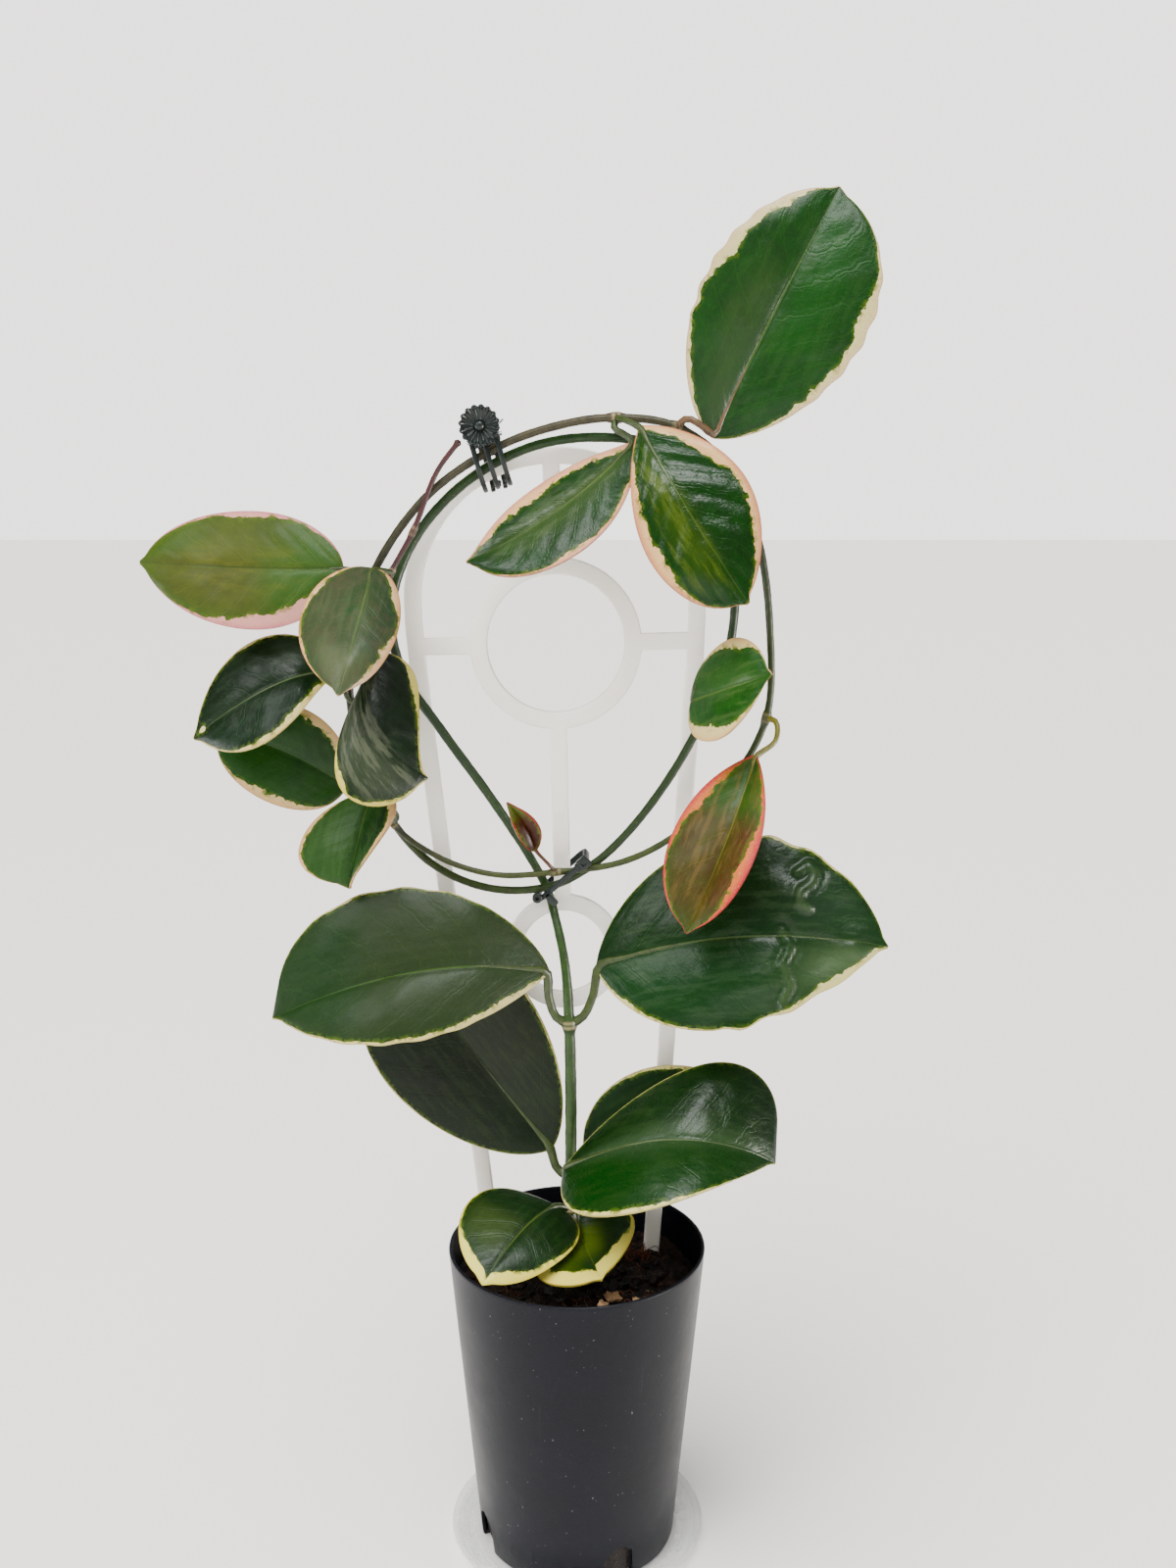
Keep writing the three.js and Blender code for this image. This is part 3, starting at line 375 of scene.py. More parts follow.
leaves = {
    "leaf_01_top_right": {
        "points": ((44.5, 8, 387), (63, 5, 425.5), (83, 11, 463.5), (40.5, 3, 436), (89.5, 3, 413)),
        "forms": (0.66, 0.62, 0.7, 0.55), "radius": 1.1, "wave": 0.5, "joint": "topRight",
        "stalk": ((36, 6.5, 393), (41, 6.5, 390.5)),
        "margins": ((.8, 1.8, 1.6, .7, 1.5, 5, 3, 3.5, .5), (.4, 1, 2.2, 3.4, 3.2, 4.8, 2, .6, .3)),
        "hues": ("1f5208", "2b6410", "e6dcae", "e9d2b0"), "ribs": ("86a860", "4f8530"),
        # the first wash is painted sheen, a grey-green band beside the midrib at the base
        "washes": (("4b6b45", 0, .66, -.55, -.05, .8), ("2f7a10", .35, .9, .1, .6, .5)),
        "pucker": .3, "dull": .34, "sheen": "5f8a50", "sheenStreakShare": .15, "stalkHue": "8a6a4c",
        "lobes": ((-1, 9, .018, .3, .95), (1, 8, .015, .2, .9))},
    "leaf_02_top_centre": {
        "points": ((20.5, 1, 390), (34.5, -12, 365), (53.5, -16, 336), (53.5, -4, 374.5),
                   (20.5, -12, 354.5)),
        "forms": (0.83, 0.8, 0.88, 0.5), "radius": 1, "wave": 0.6, "joint": "top",
        "stalk": ((15.5, 4.5, 392.5),),
        "margins": ((2.5, 4.5, 5.5, 5, 2.5, 3, 3.3, 2, .4), (.3, .5, 2.5, 3, 3, 3.8, 3.5, 1.2, .3)),
        "hues": ("1d4710", "285618", "e8c49a", "cf9078"), "ribs": ("7d9a58", "3c6a28"),
        "washes": (("5c7a3a", .1, .85, .05, .5, .7),),
        "pucker": .85, "dull": .22, "sheen": "86a05c", "sheenStreakShare": .55, "sheenStreakPart": (.05, .9, .02, .7)},
    "leaf_03_top_left": {
        "points": ((19, 6.5, 386), (-3.5, 1, 365.5), (-33.5, -8, 348), (6, -6, 354), (-9.5, 7, 373.5)),
        "forms": (0.7, 0.45, 1.17, 0.93), "radius": 1.1, "wave": 0.5, "joint": "top",
        "stalk": ((12.5, 8.5, 390), (15.5, 7.5, 388.2)),
        "margins": ((.3, .8, 1.5, 1.2, 1.2, 2.2, 1, .8, .4), (1, 2.2, 2.5, 3, 3.2, 4, 2.8, 2.2, .3)),
        "hues": ("1b4510", "285618", "e6bf98", "d39a88"), "ribs": ("7f9c62", "44702f"),
        "washes": (("5d7a52", .05, .9, -.35, .3, .75),),
        "pucker": .4, "dull": .3, "sheen": "7f9a74", "sheenStreakShare": .32, "sheenStreakPart": (.1, .9, -.4, .5)},
    "leaf_04_far_left": {
        "points": ((-76, 2, 345), (-107.5, -3, 345.5), (-140.5, 2, 347), (-105.5, -8, 326),
                   (-108, 5, 363.5)),
        "forms": (0.6, 0.62, 0.55, 0.62), "radius": 0.8, "wave": 0.6, "joint": "shoot",
        "stalk": ((-67, 5.2, 344), (-72, 3.6, 344.5)),
        "margins": ((3, 5.5, 6, 4.5, 4, 2, .9, .4, .2), (.5, 1.2, 1, 1.6, 2.6, 1.2, .9, .5, .2)),
        "hues": ("56780a", "6a860e", "dba9a0", "cf8890"), "ribs": ("4f6a12", "8f9e24"),
        "washes": (("4c8014", 0, .4, -.9, .9, .7), ("74500c", .4, .95, -.8, .3, .3),
                   ("74560c", .25, .7, .3, .95, .25), ("93a040", .25, .8, .1, .35, .3)),
        "pucker": .4, "dull": .56, "sheen": "b4b860", "sheenStreakShare": .15, "sheenStreakPart": (.2, .8, -.4, .4)},
    "leaf_05_left_front": {
        "points": ((-66, -1, 345), (-69, -22, 325.5), (-72.5, -32, 309), (-57, -15, 324),
                   (-87.5, -13, 329.5)),
        "forms": (0.5, 0.6, 0.5, 0.6), "radius": 0.9, "wave": 0.4, "joint": "shoot",
        "stalk": ((-62, 3.5, 344.2),),
        "margins": ((.5, 2.2, 2.2, .7, 1, 3.2, 2.5, 2, .3), (.4, 1.5, 2, 1.2, .7, 1, 1.2, .8, .3)),
        "hues": ("41604a", "62665a", "e6cba8", "d6a582"), "ribs": ("86a070", "567c50"),
        "washes": (("66705c", .1, .9, .35, .9, .6), ("3f6f3f", .1, .9, -.3, .25, .5),
                   ("8c9c84", .65, 1, -.6, .6, .6)),
        "pucker": .25, "dull": .4, "sheen": "8a9a80", "sheenStreakShare": .2,
        "dents": ((.6, .4, 5, .5), (.4, -.5, 5, -.5))},
    "leaf_06_left_dark": {
        "points": ((-76, 4, 312), (-99.5, -6, 307), (-124, -5, 291), (-91.5, -12, 296.5),
                   (-107, 3, 321)),
        "forms": (1.45, 0.67, 0.65, 0.75), "radius": 0.9, "wave": 0.5, "joint": "leftRise",
        "stalk": ((-76, 5.5, 302), (-77, 4.5, 307)),
        "margins": ((.8, 1.3, 1.6, 2, 2, 1.5, 1.6, .8, .6), (.2, .3, .5, .7, 1.2, .5, .3, .3, .3)),
        "hues": ("0e2814", "16341a", "e6dcae", "dccb94"), "ribs": ("8fa888", "3d5f48"),
        # the first wash is painted sheen, a grey-blue gleam near the base
        "washes": (("7f9a96", 0, .38, .3, .85, .35), ("27433a", 0, 1, -.9, -.3, .3)),
        "patches": ((.95, .02, 1.0),),
        "pucker": .3, "dull": .36, "sheen": "5f7a70", "sheenStreakShare": .14,
        "dents": ((.5, .5, 7, .8), (.7, -.4, 6, -.7), (.35, -.4, 6, .8))},
    "leaf_07_left_under": {
        "points": ((-78, 9, 272), (-98.5, 5, 284.5), (-120, 7, 290.5), (-105, 0, 269), (-92.5, 7, 299)),
        "forms": (0.5, 0.6, 0.5, 0.6), "radius": 0.8, "wave": 0.5, "joint": "leftLow",
        "stalk": ((-73, 10, 265.5),),
        "margins": ((.5, .8, 1.5, 3, 2.8, 2, 1.2, .6, .3), (1.5, 3.5, 3.5, 3, 2.5, 2, 1.5, 1, .3)),
        "hues": ("2c5616", "38641c", "e8cfa4", "dcb890"), "ribs": ("5f8a55", "4a7a3c"),
        "washes": (("3f7430", .4, 1, -.9, .9, .6),),
        "pucker": .3, "dull": .44},
    "leaf_08_left_hanging": {
        "points": ((-65, 0, 318), (-66, -14, 299.5), (-49.5, -12, 279), (-51.5, -5, 297),
                   (-75.5, -22, 278.5)),
        "forms": (0.5, 1, 0.5, 0.5), "radius": 0.9, "wave": 0.4, "joint": "leftHigh",
        "stalk": ((-64.5, 3.5, 323),),
        "margins": ((1, 2.2, 2.5, 2.2, .8, .5, .5, 1, .8), (.2, .2, .4, 1.5, 3, 1, 1, 2.2, 1)),
        "hues": ("182c1c", "203a24", "e8dc9c", "e2d48c"), "ribs": ("7f8f86", "3c5a44"),
        # the wash and the heavy streaks of sheen below are painted sheen, silver-grey down the blade
        "washes": (("7f8f86", .1, .9, .2, .8, .6),),
        "pucker": .25, "dull": .33, "sheen": "9aa8a0", "sheenStreakShare": .75, "sheenStreakPart": (.1, .95, -.1, .85),
        "dents": ((.5, .5, 5, .6), (.7, -.3, 5, -.6))},
    "leaf_09_left_low": {
        "points": ((-68, 3, 271), (-72, -6, 256.5), (-74.5, -10, 242.5), (-62.5, -16, 260),
                   (-92, -2, 255)),
        "forms": (0.5, 1.3, 0.6, 0.5), "radius": 0.8, "wave": 0.4, "joint": "leftTwin",
        "stalk": ((-60.5, 4.5, 262.5), (-64.5, 2.5, 268)),
        "margins": ((2.5, 3.5, 3, 2.5, 1.5, 1, .6, .3, .3), (.6, 1, 1.5, 2, 1.8, 1.3, 1.2, .8, .3)),
        "hues": ("2b5228", "355f30", "e8caa0", "e0b890"), "ribs": ("7fa060", "4a7440"),
        "washes": (("4a7340", 0, 1, .05, .95, .8), ("1f3f22", 0, 1, -.95, -.05, .8)),
        "pucker": .3, "dull": .44, "sheen": "6f9a62", "sheenStreakShare": .25},
    "leaf_10_right_small": {
        "points": ((38.5, 6, 301), (50, -8, 307), (61, -16, 312), (51, -2, 322.5), (46, -12, 291)),
        "forms": (0.5, 0.6, 0.5, 0.6), "radius": 0.7, "wave": 0.3, "joint": "rightInner",
        "stalk": ((46, 7.5, 314), (40, 5, 306.5)),
        "margins": ((.3, .6, 1.5, 2, 3, 4, 2, .8, .4), (1.5, 3, 4, 4.5, 3.5, 2.8, 1.8, .8, .3)),
        "hues": ("2f6026", "3c7430", "e8d8a8", "e2c094"), "ribs": ("8fb070", "558a44"),
        "washes": (("5f8f52", .2, .8, -.5, .1, .5),),
        "pucker": .3, "dull": .36, "sheen": "7fa070", "sheenStreakShare": .4},
    "leaf_11_right_pink": {
        "points": ((60, 2, 283.5), (49.5, -16, 260), (36.5, -22, 230.5), (58.5, -24, 258.5),
                   (34, -8, 264)),
        "forms": (0.88, 0.62, 0.88, 0.62), "radius": 0.9, "wave": 0.4, "joint": "right",
        "stalk": ((67, 7, 294), (66.5, 4, 288)),
        "margins": ((.6, 1, 1.3, 1.5, 3, 4.5, 3, 1, .2), (.5, 2.2, 3.5, 4, 2.5, 1.2, 1, 1, .2)),
        "hues": ("44701f", "5a7a28", "c87656", "b42e42"), "ribs": ("a9b46a", "7c8a3c"),
        "washes": (("5a3c1c", .4, 1.05, -.9, .9, .85), ("74302a", .4, .85, -.9, -.3, .4),
                   ("6c6c2c", .45, .9, .1, .5, .4), ("4c6a2c", .94, 1.1, -.9, .9, .8)),
        "pucker": .3, "dull": .46, "stalkHue": "9a9440", "sheen": "a08a60", "sheenStreakShare": .4},
    "leaf_12_right_large": {
        "points": ((7, 3, 210), (53.5, -6, 223), (102.5, -8, 220.5), (56.5, 9, 254.5),
                   (51, -16, 194.5)),
        "forms": (0.54, 0.6, 0.8, 0.93), "radius": 1.5, "wave": 1.3, "joint": "pair",
        "stalk": ((2, 0, 193), (5.5, 1, 200)),
        "margins": ((.2, .2, .3, .5, .6, 1, .9, .6, .3), (.6, 1.6, .8, .6, .6, .8, 2.0, 3.2, 1.2)),
        "hues": ("173f13", "1f4a1a", "ded8a8", "dcd29c"), "ribs": ("7f9c68", "2f5a2c"),
        # the third wash is a painted highlight on the mottled tip and the fourth is painted grey-blue
        # sheen near the tip
        "washes": (("12380f", 0, .8, -.95, -.1, .7), ("2c5a35", .05, .66, .05, .9, .7),
                   ("9ec0a4", .74, .95, .2, .85, .6, 1.3), ("4f6a62", .7, .95, -.8, -.1, .4)),
        "patches": ((.74, .72, 1.2), (.8, .55, .9), (.87, .45, 1.0)),
        "pucker": .28, "dull": .3, "sheen": "6f8f74", "sheenStreakShare": .2,
        "dents": ((.70, -.35, 8, 1.5), (.8, .2, 7, -1.6), (.62, .5, 6, 1.5), (.9, .05, 5, 1.4),
                  (.55, .8, 7, -1.2), (.72, .85, 5, 1.8), (.4, .5, 9, .8), (.3, -.5, 9, -.8)),
        "lobes": ((1, 6, .035, .45, .97), (-1, 7, .02, .35, .97)),
        "scars": (((.70, -.66), (.735, -.74), (.765, -.66), (.75, -.54), (.715, -.46), (.71, -.34),
                   (.745, -.28)),
                  ((.655, -.04), (.69, .12), (.665, .3), (.70, .5), (.675, .66), (.70, .85)))},
    "leaf_13_left_large": {
        "points": ((-9.5, 1, 208.5), (-52.5, -14, 213.5), (-99.5, -14, 198), (-53.5, -26, 193.5),
                   (-53.5, -2, 239)),
        "forms": (0.93, 0.9, 0.66, 0.32), "radius": 1.5, "wave": 0.6, "joint": "pair",
        "stalk": ((-7, 0, 193), (-9.5, 0.5, 200)),
        "margins": ((1, 2.5, 2.5, 1.6, 1.2, 1, .9, .4, .4), (.3, .3, .3, .4, .4, .4, .7, .4, .3)),
        "hues": ("2c4a24", "365230", "e2d8a6", "e0d4a0"), "ribs": ("6f9a55", "47703c"),
        # the first two washes are painted olive-grey sheen over the middle of the blade
        "washes": (("43543c", .05, .75, .05, .95, .8), ("42543a", .05, .7, -.9, -.05, .7),
                   ("1e4a12", .72, .97, -.6, .8, .85), ("1e4a12", .08, .2, .1, .5, .6)),
        "pucker": .14, "dull": .46, "sheen": "5f7a56", "sheenStreakShare": .08,
        "lobes": ((1, 6, .012, .2, .95), (-1, 7, .012, .2, .95)),
        "dents": ((.3, .5, 9, .8), (.6, -.5, 9, .7), (.75, .4, 8, -.7))},
    "leaf_14_left_under": {
        "points": ((-9, 3, 144), (-38, 8, 179.5), (-65.5, 10, 215.5), (-61, 2, 162.5),
                   (-16.5, 6, 198)),
        "forms": (0.65, 0.5, 0.65, 0.5), "radius": 1.5, "wave": 0.5, "joint": "low",
        "stalk": ((-7, 2, 137),),
        "margins": ((.3, .3, .3, .4, .4, .4, .3, .3, .3), (.3, .4, .6, .7, .7, .6, .5, .4, .3)),
        # the greens are deepened past the leaf's own colour as painted shade, for the shade it hangs in
        "hues": ("142812", "1c3018", "d8d0a0", "c8be90"), "ribs": ("4f6a44", "2c4426"),
        "washes": (("2f3a24", .3, 1, .05, .95, .7),),
        "pucker": .12, "dull": .5},
    "leaf_15_low_right": {
        "points": ((-4, -6, 140.5), (32, -20, 157), (66, -14, 146.5), (38.5, 0, 174),
                   (26.5, -42, 144)),
        "forms": (0.8, 0.3, 0.45, 0.87), "radius": 1.4, "wave": 0.5, "joint": "low",
        "stalk": ((-3.5, -4.2, 137),),
        "margins": ((.2, .2, .25, .3, .3, .3, .3, .2, .2), (.8, 1, 1.3, 1.5, 1.5, 1, .5, .3, .3)),
        "hues": ("1c451a", "25501f", "e8dfa8", "e6dca2"), "ribs": ("9fb39a", "3a6432"),
        # the last wash is painted sheen along the folded midrib
        "washes": (("25501f", 0, 1, .05, 1, .8), ("12320f", 0, 1, -1, -.1, .8),
                   ("6c8a72", .05, .95, -.16, .06, .6)),
        "pucker": .14, "dull": .28, "dents": ((.4, .5, 9, .8), (.7, -.4, 8, -.7))},
    "leaf_16_low_right_back": {
        "points": ((4, 4, 139), (29.5, 9, 153.5), (56.5, 12, 162), (20.5, 11, 169), (38.5, 5, 139)),
        "forms": (0.5, 0.6, 0.5, 0.6), "radius": 1.3, "wave": 0.4, "joint": "low",
        "stalk": ((2, 2, 136.5),),
        "margins": ((.3, .3, .3, .6, 1.2, 1.5, 1.5, 1, .4), (.3, .3, .3, .3, .3, .3, .3, .3, .3)),
        "hues": ("1e3c22", "26462c", "e4daa6", "e0d6a0"), "ribs": ("5f7f5c", "38583c"),
        "pucker": .3, "dull": .4},
    "leaf_17_foot_left": {
        "points": ((-7.5, -4, 125.5), (-18, -19, 124.5), (-30, -35, 114.5), (-3, -21, 116.5),
                   (-36.5, -12, 131.5)),
        "forms": (0.5, 0.55, 0.5, 0.52), "radius": 1.1, "wave": 0.4, "joint": "lowest",
        "stalk": ((-5, -2, 124.5),),
        "margins": ((.4, .4, .6, .8, 1, 1.5, 2.6, 5, 9), (.3, .3, .3, .3, .4, .5, .9, 4.5, 9)),
        "hues": ("16351a", "21441c", "f6ee9c", "f2e48e"), "ribs": ("8aa56a", "3f6434"),
        "washes": (("6f8a5a", .45, .8, .1, .9, .5),),
        "pucker": .2, "dull": .33},
    "leaf_18_foot_right": {
        "points": ((0, -3, 123), (2.5, -11, 116), (8, -30, 113), (20, -10, 121), (-13.5, -23, 110.5)),
        "forms": (0.5, 0.8, 0.5, 0.6), "radius": 1, "wave": 0.4, "joint": "lowest",
        "stalk": ((1, -2.8, 121),),
        "margins": ((.5, .6, .8, 1.1, 1.8, 3.2, 6, 9, 9), (.5, .8, 1.5, 2.6, 3.6, 5, 7, 9, 9)),
        "hues": ("14350f", "24501c", "f8ee9e", "f4e492"), "ribs": ("9fb86a", "3c6428"),
        "washes": (("93b060", .3, .72, -.35, .25, .75), ("7f9a50", .5, .8, .3, .9, .5)),
        "pucker": .2, "dull": .33},
    "leaf_19_young": {
        "points": ((-14, 7, 250), (-16.5, 5, 257.5), (-22.5, 6, 265.5), (-20, 3, 256), (-13, 3, 260)),
        "forms": (0.6, 0.7, 0.6, 0.7), "radius": 0.6, "wave": 0.2, "joint": "middle",
        "stalk": ((-9.5, 6.2, 245.2),),
        "margins": ((.3, .4, .5, .5, .5, .5, .4, .3, .2), (.3, .4, .5, .5, .5, .5, .4, .3, .2)),
        "hues": ("4c2410", "5e3216", "7a3020", "8a2a28"), "ribs": ("7a5a2a", "6a4020"),
        "washes": (("6a7a2a", .75, 1.1, -1, 1, .8),),
        "pucker": .08, "dull": .3, "stalkHue": "6a3a22"},
}


def leafHue(text):
    return strongerHue(text, 0.27, 1.35) * np.array((1.12, 1.0, 0.7, 1.0))


def creamHue(text):
    return strongerHue(text, 0.66, 1.4)


def makeLeafTop():
    # Upper leaf skin: a smooth waxy cuticle over green flesh, cream where the edge has no chlorophyll.
    # The wax gives a soft gloss; the flesh shows mottling, fine veins and a ragged inner cream edge, with
    # streaks of painted sheen laid over the green.
    material, add, place = newMaterial("waxyLeafTop")
    rim, edgeGap, midGap, veinRun, along, ragged, dull, sheenStreakShare = (
        add("Attribute", attribute_name=name) for name in (
            "rim", "edgeGap", "midGap", "veinRun", "along", "ragged", "dull", "sheenStreakShare"))
    deep, second, cream, blush, rib, sideVein, sheen, lip = (
        add("Attribute", output="Color", attribute_name=name) for name in (
            "green", "second", "cream", "blush", "rib", "sideVein", "sheen", "lip"))
    flow = add("Attribute", output="Vector", attribute_name="flow")
    lobes = add("TexNoise", {"Vector": place, "Scale": 1000 / 4.6})
    crumbs = add("TexNoise", {"Vector": place, "Scale": 1000 / 1.5, "Detail": 3, "Roughness": 0.55})
    cells = add("TexNoise", {"Vector": place, "Scale": 1000 / 0.7, "Roughness": 0.6})
    clouds = add("TexNoise", {"Vector": place, "Scale": 1000 / 11, "Detail": 3, "Roughness": 0.55})
    spots = add("TexNoise", {"Vector": place, "Scale": 1000 / 3.4, "Detail": 4, "Roughness": 0.62})
    brush = add("TexNoise", {"Vector": flow, "Scale": 1000 / 2.2, "Detail": 4, "Roughness": 0.6})
    # the border of the cream edge, moved in and out by the mottling
    shift = add("Math", (lobes, 5, -3.7), operation="MULTIPLY_ADD")
    shift = add("Math", (crumbs, 2.4, shift), operation="MULTIPLY_ADD")
    edge = add("Math", (shift, ragged, rim), operation="MULTIPLY_ADD")
    green = add("MapRange", (edge, -0.12, 0.14))
    # a paler, yellower green where cream and green overlap, in ragged islands
    islands = add("Math", (
        add("MapRange", (edge, -1.9, -0.1)), add("MapRange", (spots, 0.5, 0.6, 0, 0.8))),
        operation="MULTIPLY")
    halo = add("Math", (
        add("MapRange", (edge, 0.2, 1.7, 0.6, 0)), add("MapRange", (crumbs, 0.42, 0.56))),
        operation="MULTIPLY")
    # side veins run from the midrib towards the edge, sweeping to the tip, with finer ones between
    wander = add("Math", (lobes, 0.5, veinRun), operation="MULTIPLY_ADD")
    fold = add("Math", (wander, 0.5), operation="PINGPONG")
    fade = add("MapRange", (edgeGap, 0.5, 5))
    vein = add("Math", (add("MapRange", (fold, 0, 0.07, 1, 0)), fade), operation="MULTIPLY")
    branch = add("Math", (wander, 3), operation="MULTIPLY")
    branch = add("Math", (brush, 0.9, branch), operation="MULTIPLY_ADD")
    branch = add("Math", (branch, 0.5), operation="PINGPONG")
    fine = add("MapRange", (branch, 0, 0.12, 1, 0))
    midrib = add("Math", (along, 0.5, midGap), operation="MULTIPLY_ADD")
    midrib = add("MapRange", (midrib, 0.3, 0.8, 1, 0))
    blotch = add("MapRange", (clouds, 0.35, 0.65, 0, 0.55))
    blotch = add("Math", (add("MapRange", (spots, 0.42, 0.6, 0, 0.45)), blotch), operation="ADD")
    # painted sheen: paler streaks of the sheen colour laid over the green where the gleam falls
    paintedSheenStreaks = add("Math", (add("MapRange", (brush, 0.46, 0.62)), sheenStreakShare), operation="MULTIPLY")
    flesh = deep
    for share, colour in (
            (blotch, second),
            (paintedSheenStreaks, sheen),
            (add("MapRange", (cells, 0.55, 0.75, 0, 0.1)), leafHue("7f9a5a")),
            (halo, leafHue("86a832")),
            (add("Math", (vein, 0.17), operation="MULTIPLY"), sideVein),
            (add("Math", (add("MapRange", (branch, 0, 0.12, 0.06, 0)), fade), operation="MULTIPLY"),
             sideVein),
            (add("Math", (midrib, 0.6), operation="MULTIPLY"), rib)):
        flesh = add("Mix", {0: share, 6: flesh, 7: colour})
    # the cream edge, blushed towards its rim and stained with yellow green
    blushing = add("Math", (clouds, 2, edgeGap), operation="MULTIPLY_ADD")
    pale = cream
    for share, colour in (
            (add("MapRange", (blushing, 0.9, 3.4, 0.9, 0)), blush),
            (islands, leafHue("a8b43c")),
            (add("MapRange", (cells, 0.5, 0.8, 0, 0.2)), creamHue("f2e8c8"))):
        pale = add("Mix", {0: share, 6: pale, 7: colour})
    skin = add("Mix", {0: green, 6: pale, 7: flesh})
    skin = add("Mix", {0: add("MapRange", (edgeGap, 0.15, 0.45, 0.55, 0)), 6: skin, 7: lip})
    height = add("Math", (lobes, 0.3), operation="MULTIPLY")
    for layer, rise in ((vein, -0.045), (fine, -0.02), (midrib, -0.12), (cells, 0.035), (green, 0.05)):
        height = add("Math", (layer, rise, height), operation="MULTIPLY_ADD")
    roughness = add("Math", (dull, 0.85, -0.06), operation="MULTIPLY_ADD")
    for layer in (brush, cells):
        roughness = add("Math", (layer, 0.12, roughness), operation="MULTIPLY_ADD")
    shader = add("BsdfPrincipled", {
        "Base Color": skin,
        "Roughness": roughness,
        "IOR": 1.42,
        "Specular IOR Level": 0.26,
        "Coat Weight": 0.06,
        "Coat Roughness": 0.2,
        "Normal": add("Bump", {"Height": height, "Distance": millimetre})})
    add("OutputMaterial", {"Surface": shader})
    return material


def makeLeafUnder():
    # Underside of the blade: paler and matter, the veins a little raised
    material, add, place = newMaterial("matteLeafUnderside")
    rim, edgeGap, veinRun, ragged = (
        add("Attribute", attribute_name=name) for name in ("rim", "edgeGap", "veinRun", "ragged"))
    deep, cream = (
        add("Attribute", output="Color", attribute_name=name) for name in ("green", "cream"))
    lobes = add("TexNoise", {"Vector": place, "Scale": 1000 / 5.5})
    cells = add("TexNoise", {"Vector": place, "Scale": 1000 / 0.8, "Roughness": 0.6})
    shift = add("Math", (lobes, 5, -2.5), operation="MULTIPLY_ADD")
    edge = add("Math", (shift, ragged, rim), operation="MULTIPLY_ADD")
    wander = add("Math", (lobes, 0.5, veinRun), operation="MULTIPLY_ADD")
    fold = add("Math", (wander, 0.5), operation="PINGPONG")
    vein = add("Math", (
        add("MapRange", (fold, 0, 0.09, 1, 0)), add("MapRange", (edgeGap, 0.5, 5))),
        operation="MULTIPLY")
    flesh = deep
    for share, colour in (
            (0.5, "a2ba7a"),
            (add("Math", (cells, 0.3), operation="MULTIPLY"), "7f9a60"),
            (add("Math", (vein, 0.4), operation="MULTIPLY"), "c0d09a")):
        flesh = add("Mix", {0: share, 6: flesh, 7: leafHue(colour)})
    pale = add("Mix", {0: 0.3, 6: cream, 7: creamHue("d8cfa6")})
    height = add("Math", (cells, 0.04), operation="MULTIPLY")
    height = add("Math", (vein, 0.12, height), operation="MULTIPLY_ADD")
    shader = add("BsdfPrincipled", {
        "Base Color": add("Mix", {0: add("MapRange", (edge, -0.2, 0.3)), 6: pale, 7: flesh}),
        "Roughness": 0.5,
        "IOR": 1.45,
        "Normal": add("Bump", {"Height": height, "Distance": millimetre})})
    add("OutputMaterial", {"Surface": shader})
    return material


def makeStalkMaterial():
    # Leaf stalks: the same waxy skin as the stem, lighter, with corky speckles where they leave it
    material, add, place = newMaterial("waxyLeafStalk")
    grain = add("TexNoise", {"Vector": place, "Scale": 1000 / 2.2, "Detail": 3, "Roughness": 0.6})
    speckle = add("TexNoise", {"Vector": place, "Scale": 1000 / 0.7})
    body = add("Attribute", output="Color", attribute_name="stalkTint")
    for share, colour in (
            (add("MapRange", (grain, 0.35, 0.7, 0, 0.45)), "141d0e"),
            (add("MapRange", (speckle, 0.66, 0.74, 0, 0.6)), "6f5636")):
        body = add("Mix", {0: share, 6: body, 7: linearColour(colour)})
    height = add("Math", (grain, 0.12), operation="MULTIPLY")
    shader = add("BsdfPrincipled", {
        "Base Color": body,
        "Roughness": add("MapRange", (grain, 0.2, 0.8, 0.32, 0.48)),
        "IOR": 1.45,
        "Normal": add("Bump", {"Height": height, "Distance": millimetre})})
    add("OutputMaterial", {"Surface": shader})
    return material


leafTop = makeLeafTop()
leafUnder = makeLeafUnder()
stalkMaterial = makeStalkMaterial()


def leafFrame(leaf):
    base, middle, tip, left, right = (np.array(p, dtype=float) for p in leaf["points"])
    control = 2 * middle - 0.5 * base - 0.5 * tip
    up = np.cross(right - left, tip - base)
    up /= np.linalg.norm(up)
    toLeft = left - middle
    toRight = right - middle
    breadth = np.linalg.norm(toLeft) + np.linalg.norm(toRight)
    return base, control, tip, toLeft, toRight, up, breadth


def leafShare(leaf, along, across):
    # share of the full half breadth that the blade has at each place
    forms = leaf["forms"]
    onLeft = across < 0
    fromBase = np.where(onLeft, forms[0], forms[2])
    toTip = np.where(onLeft, forms[1], forms[3])
    return (2 * along) ** fromBase * np.clip(2 - 2 * along, 0, None) ** toTip


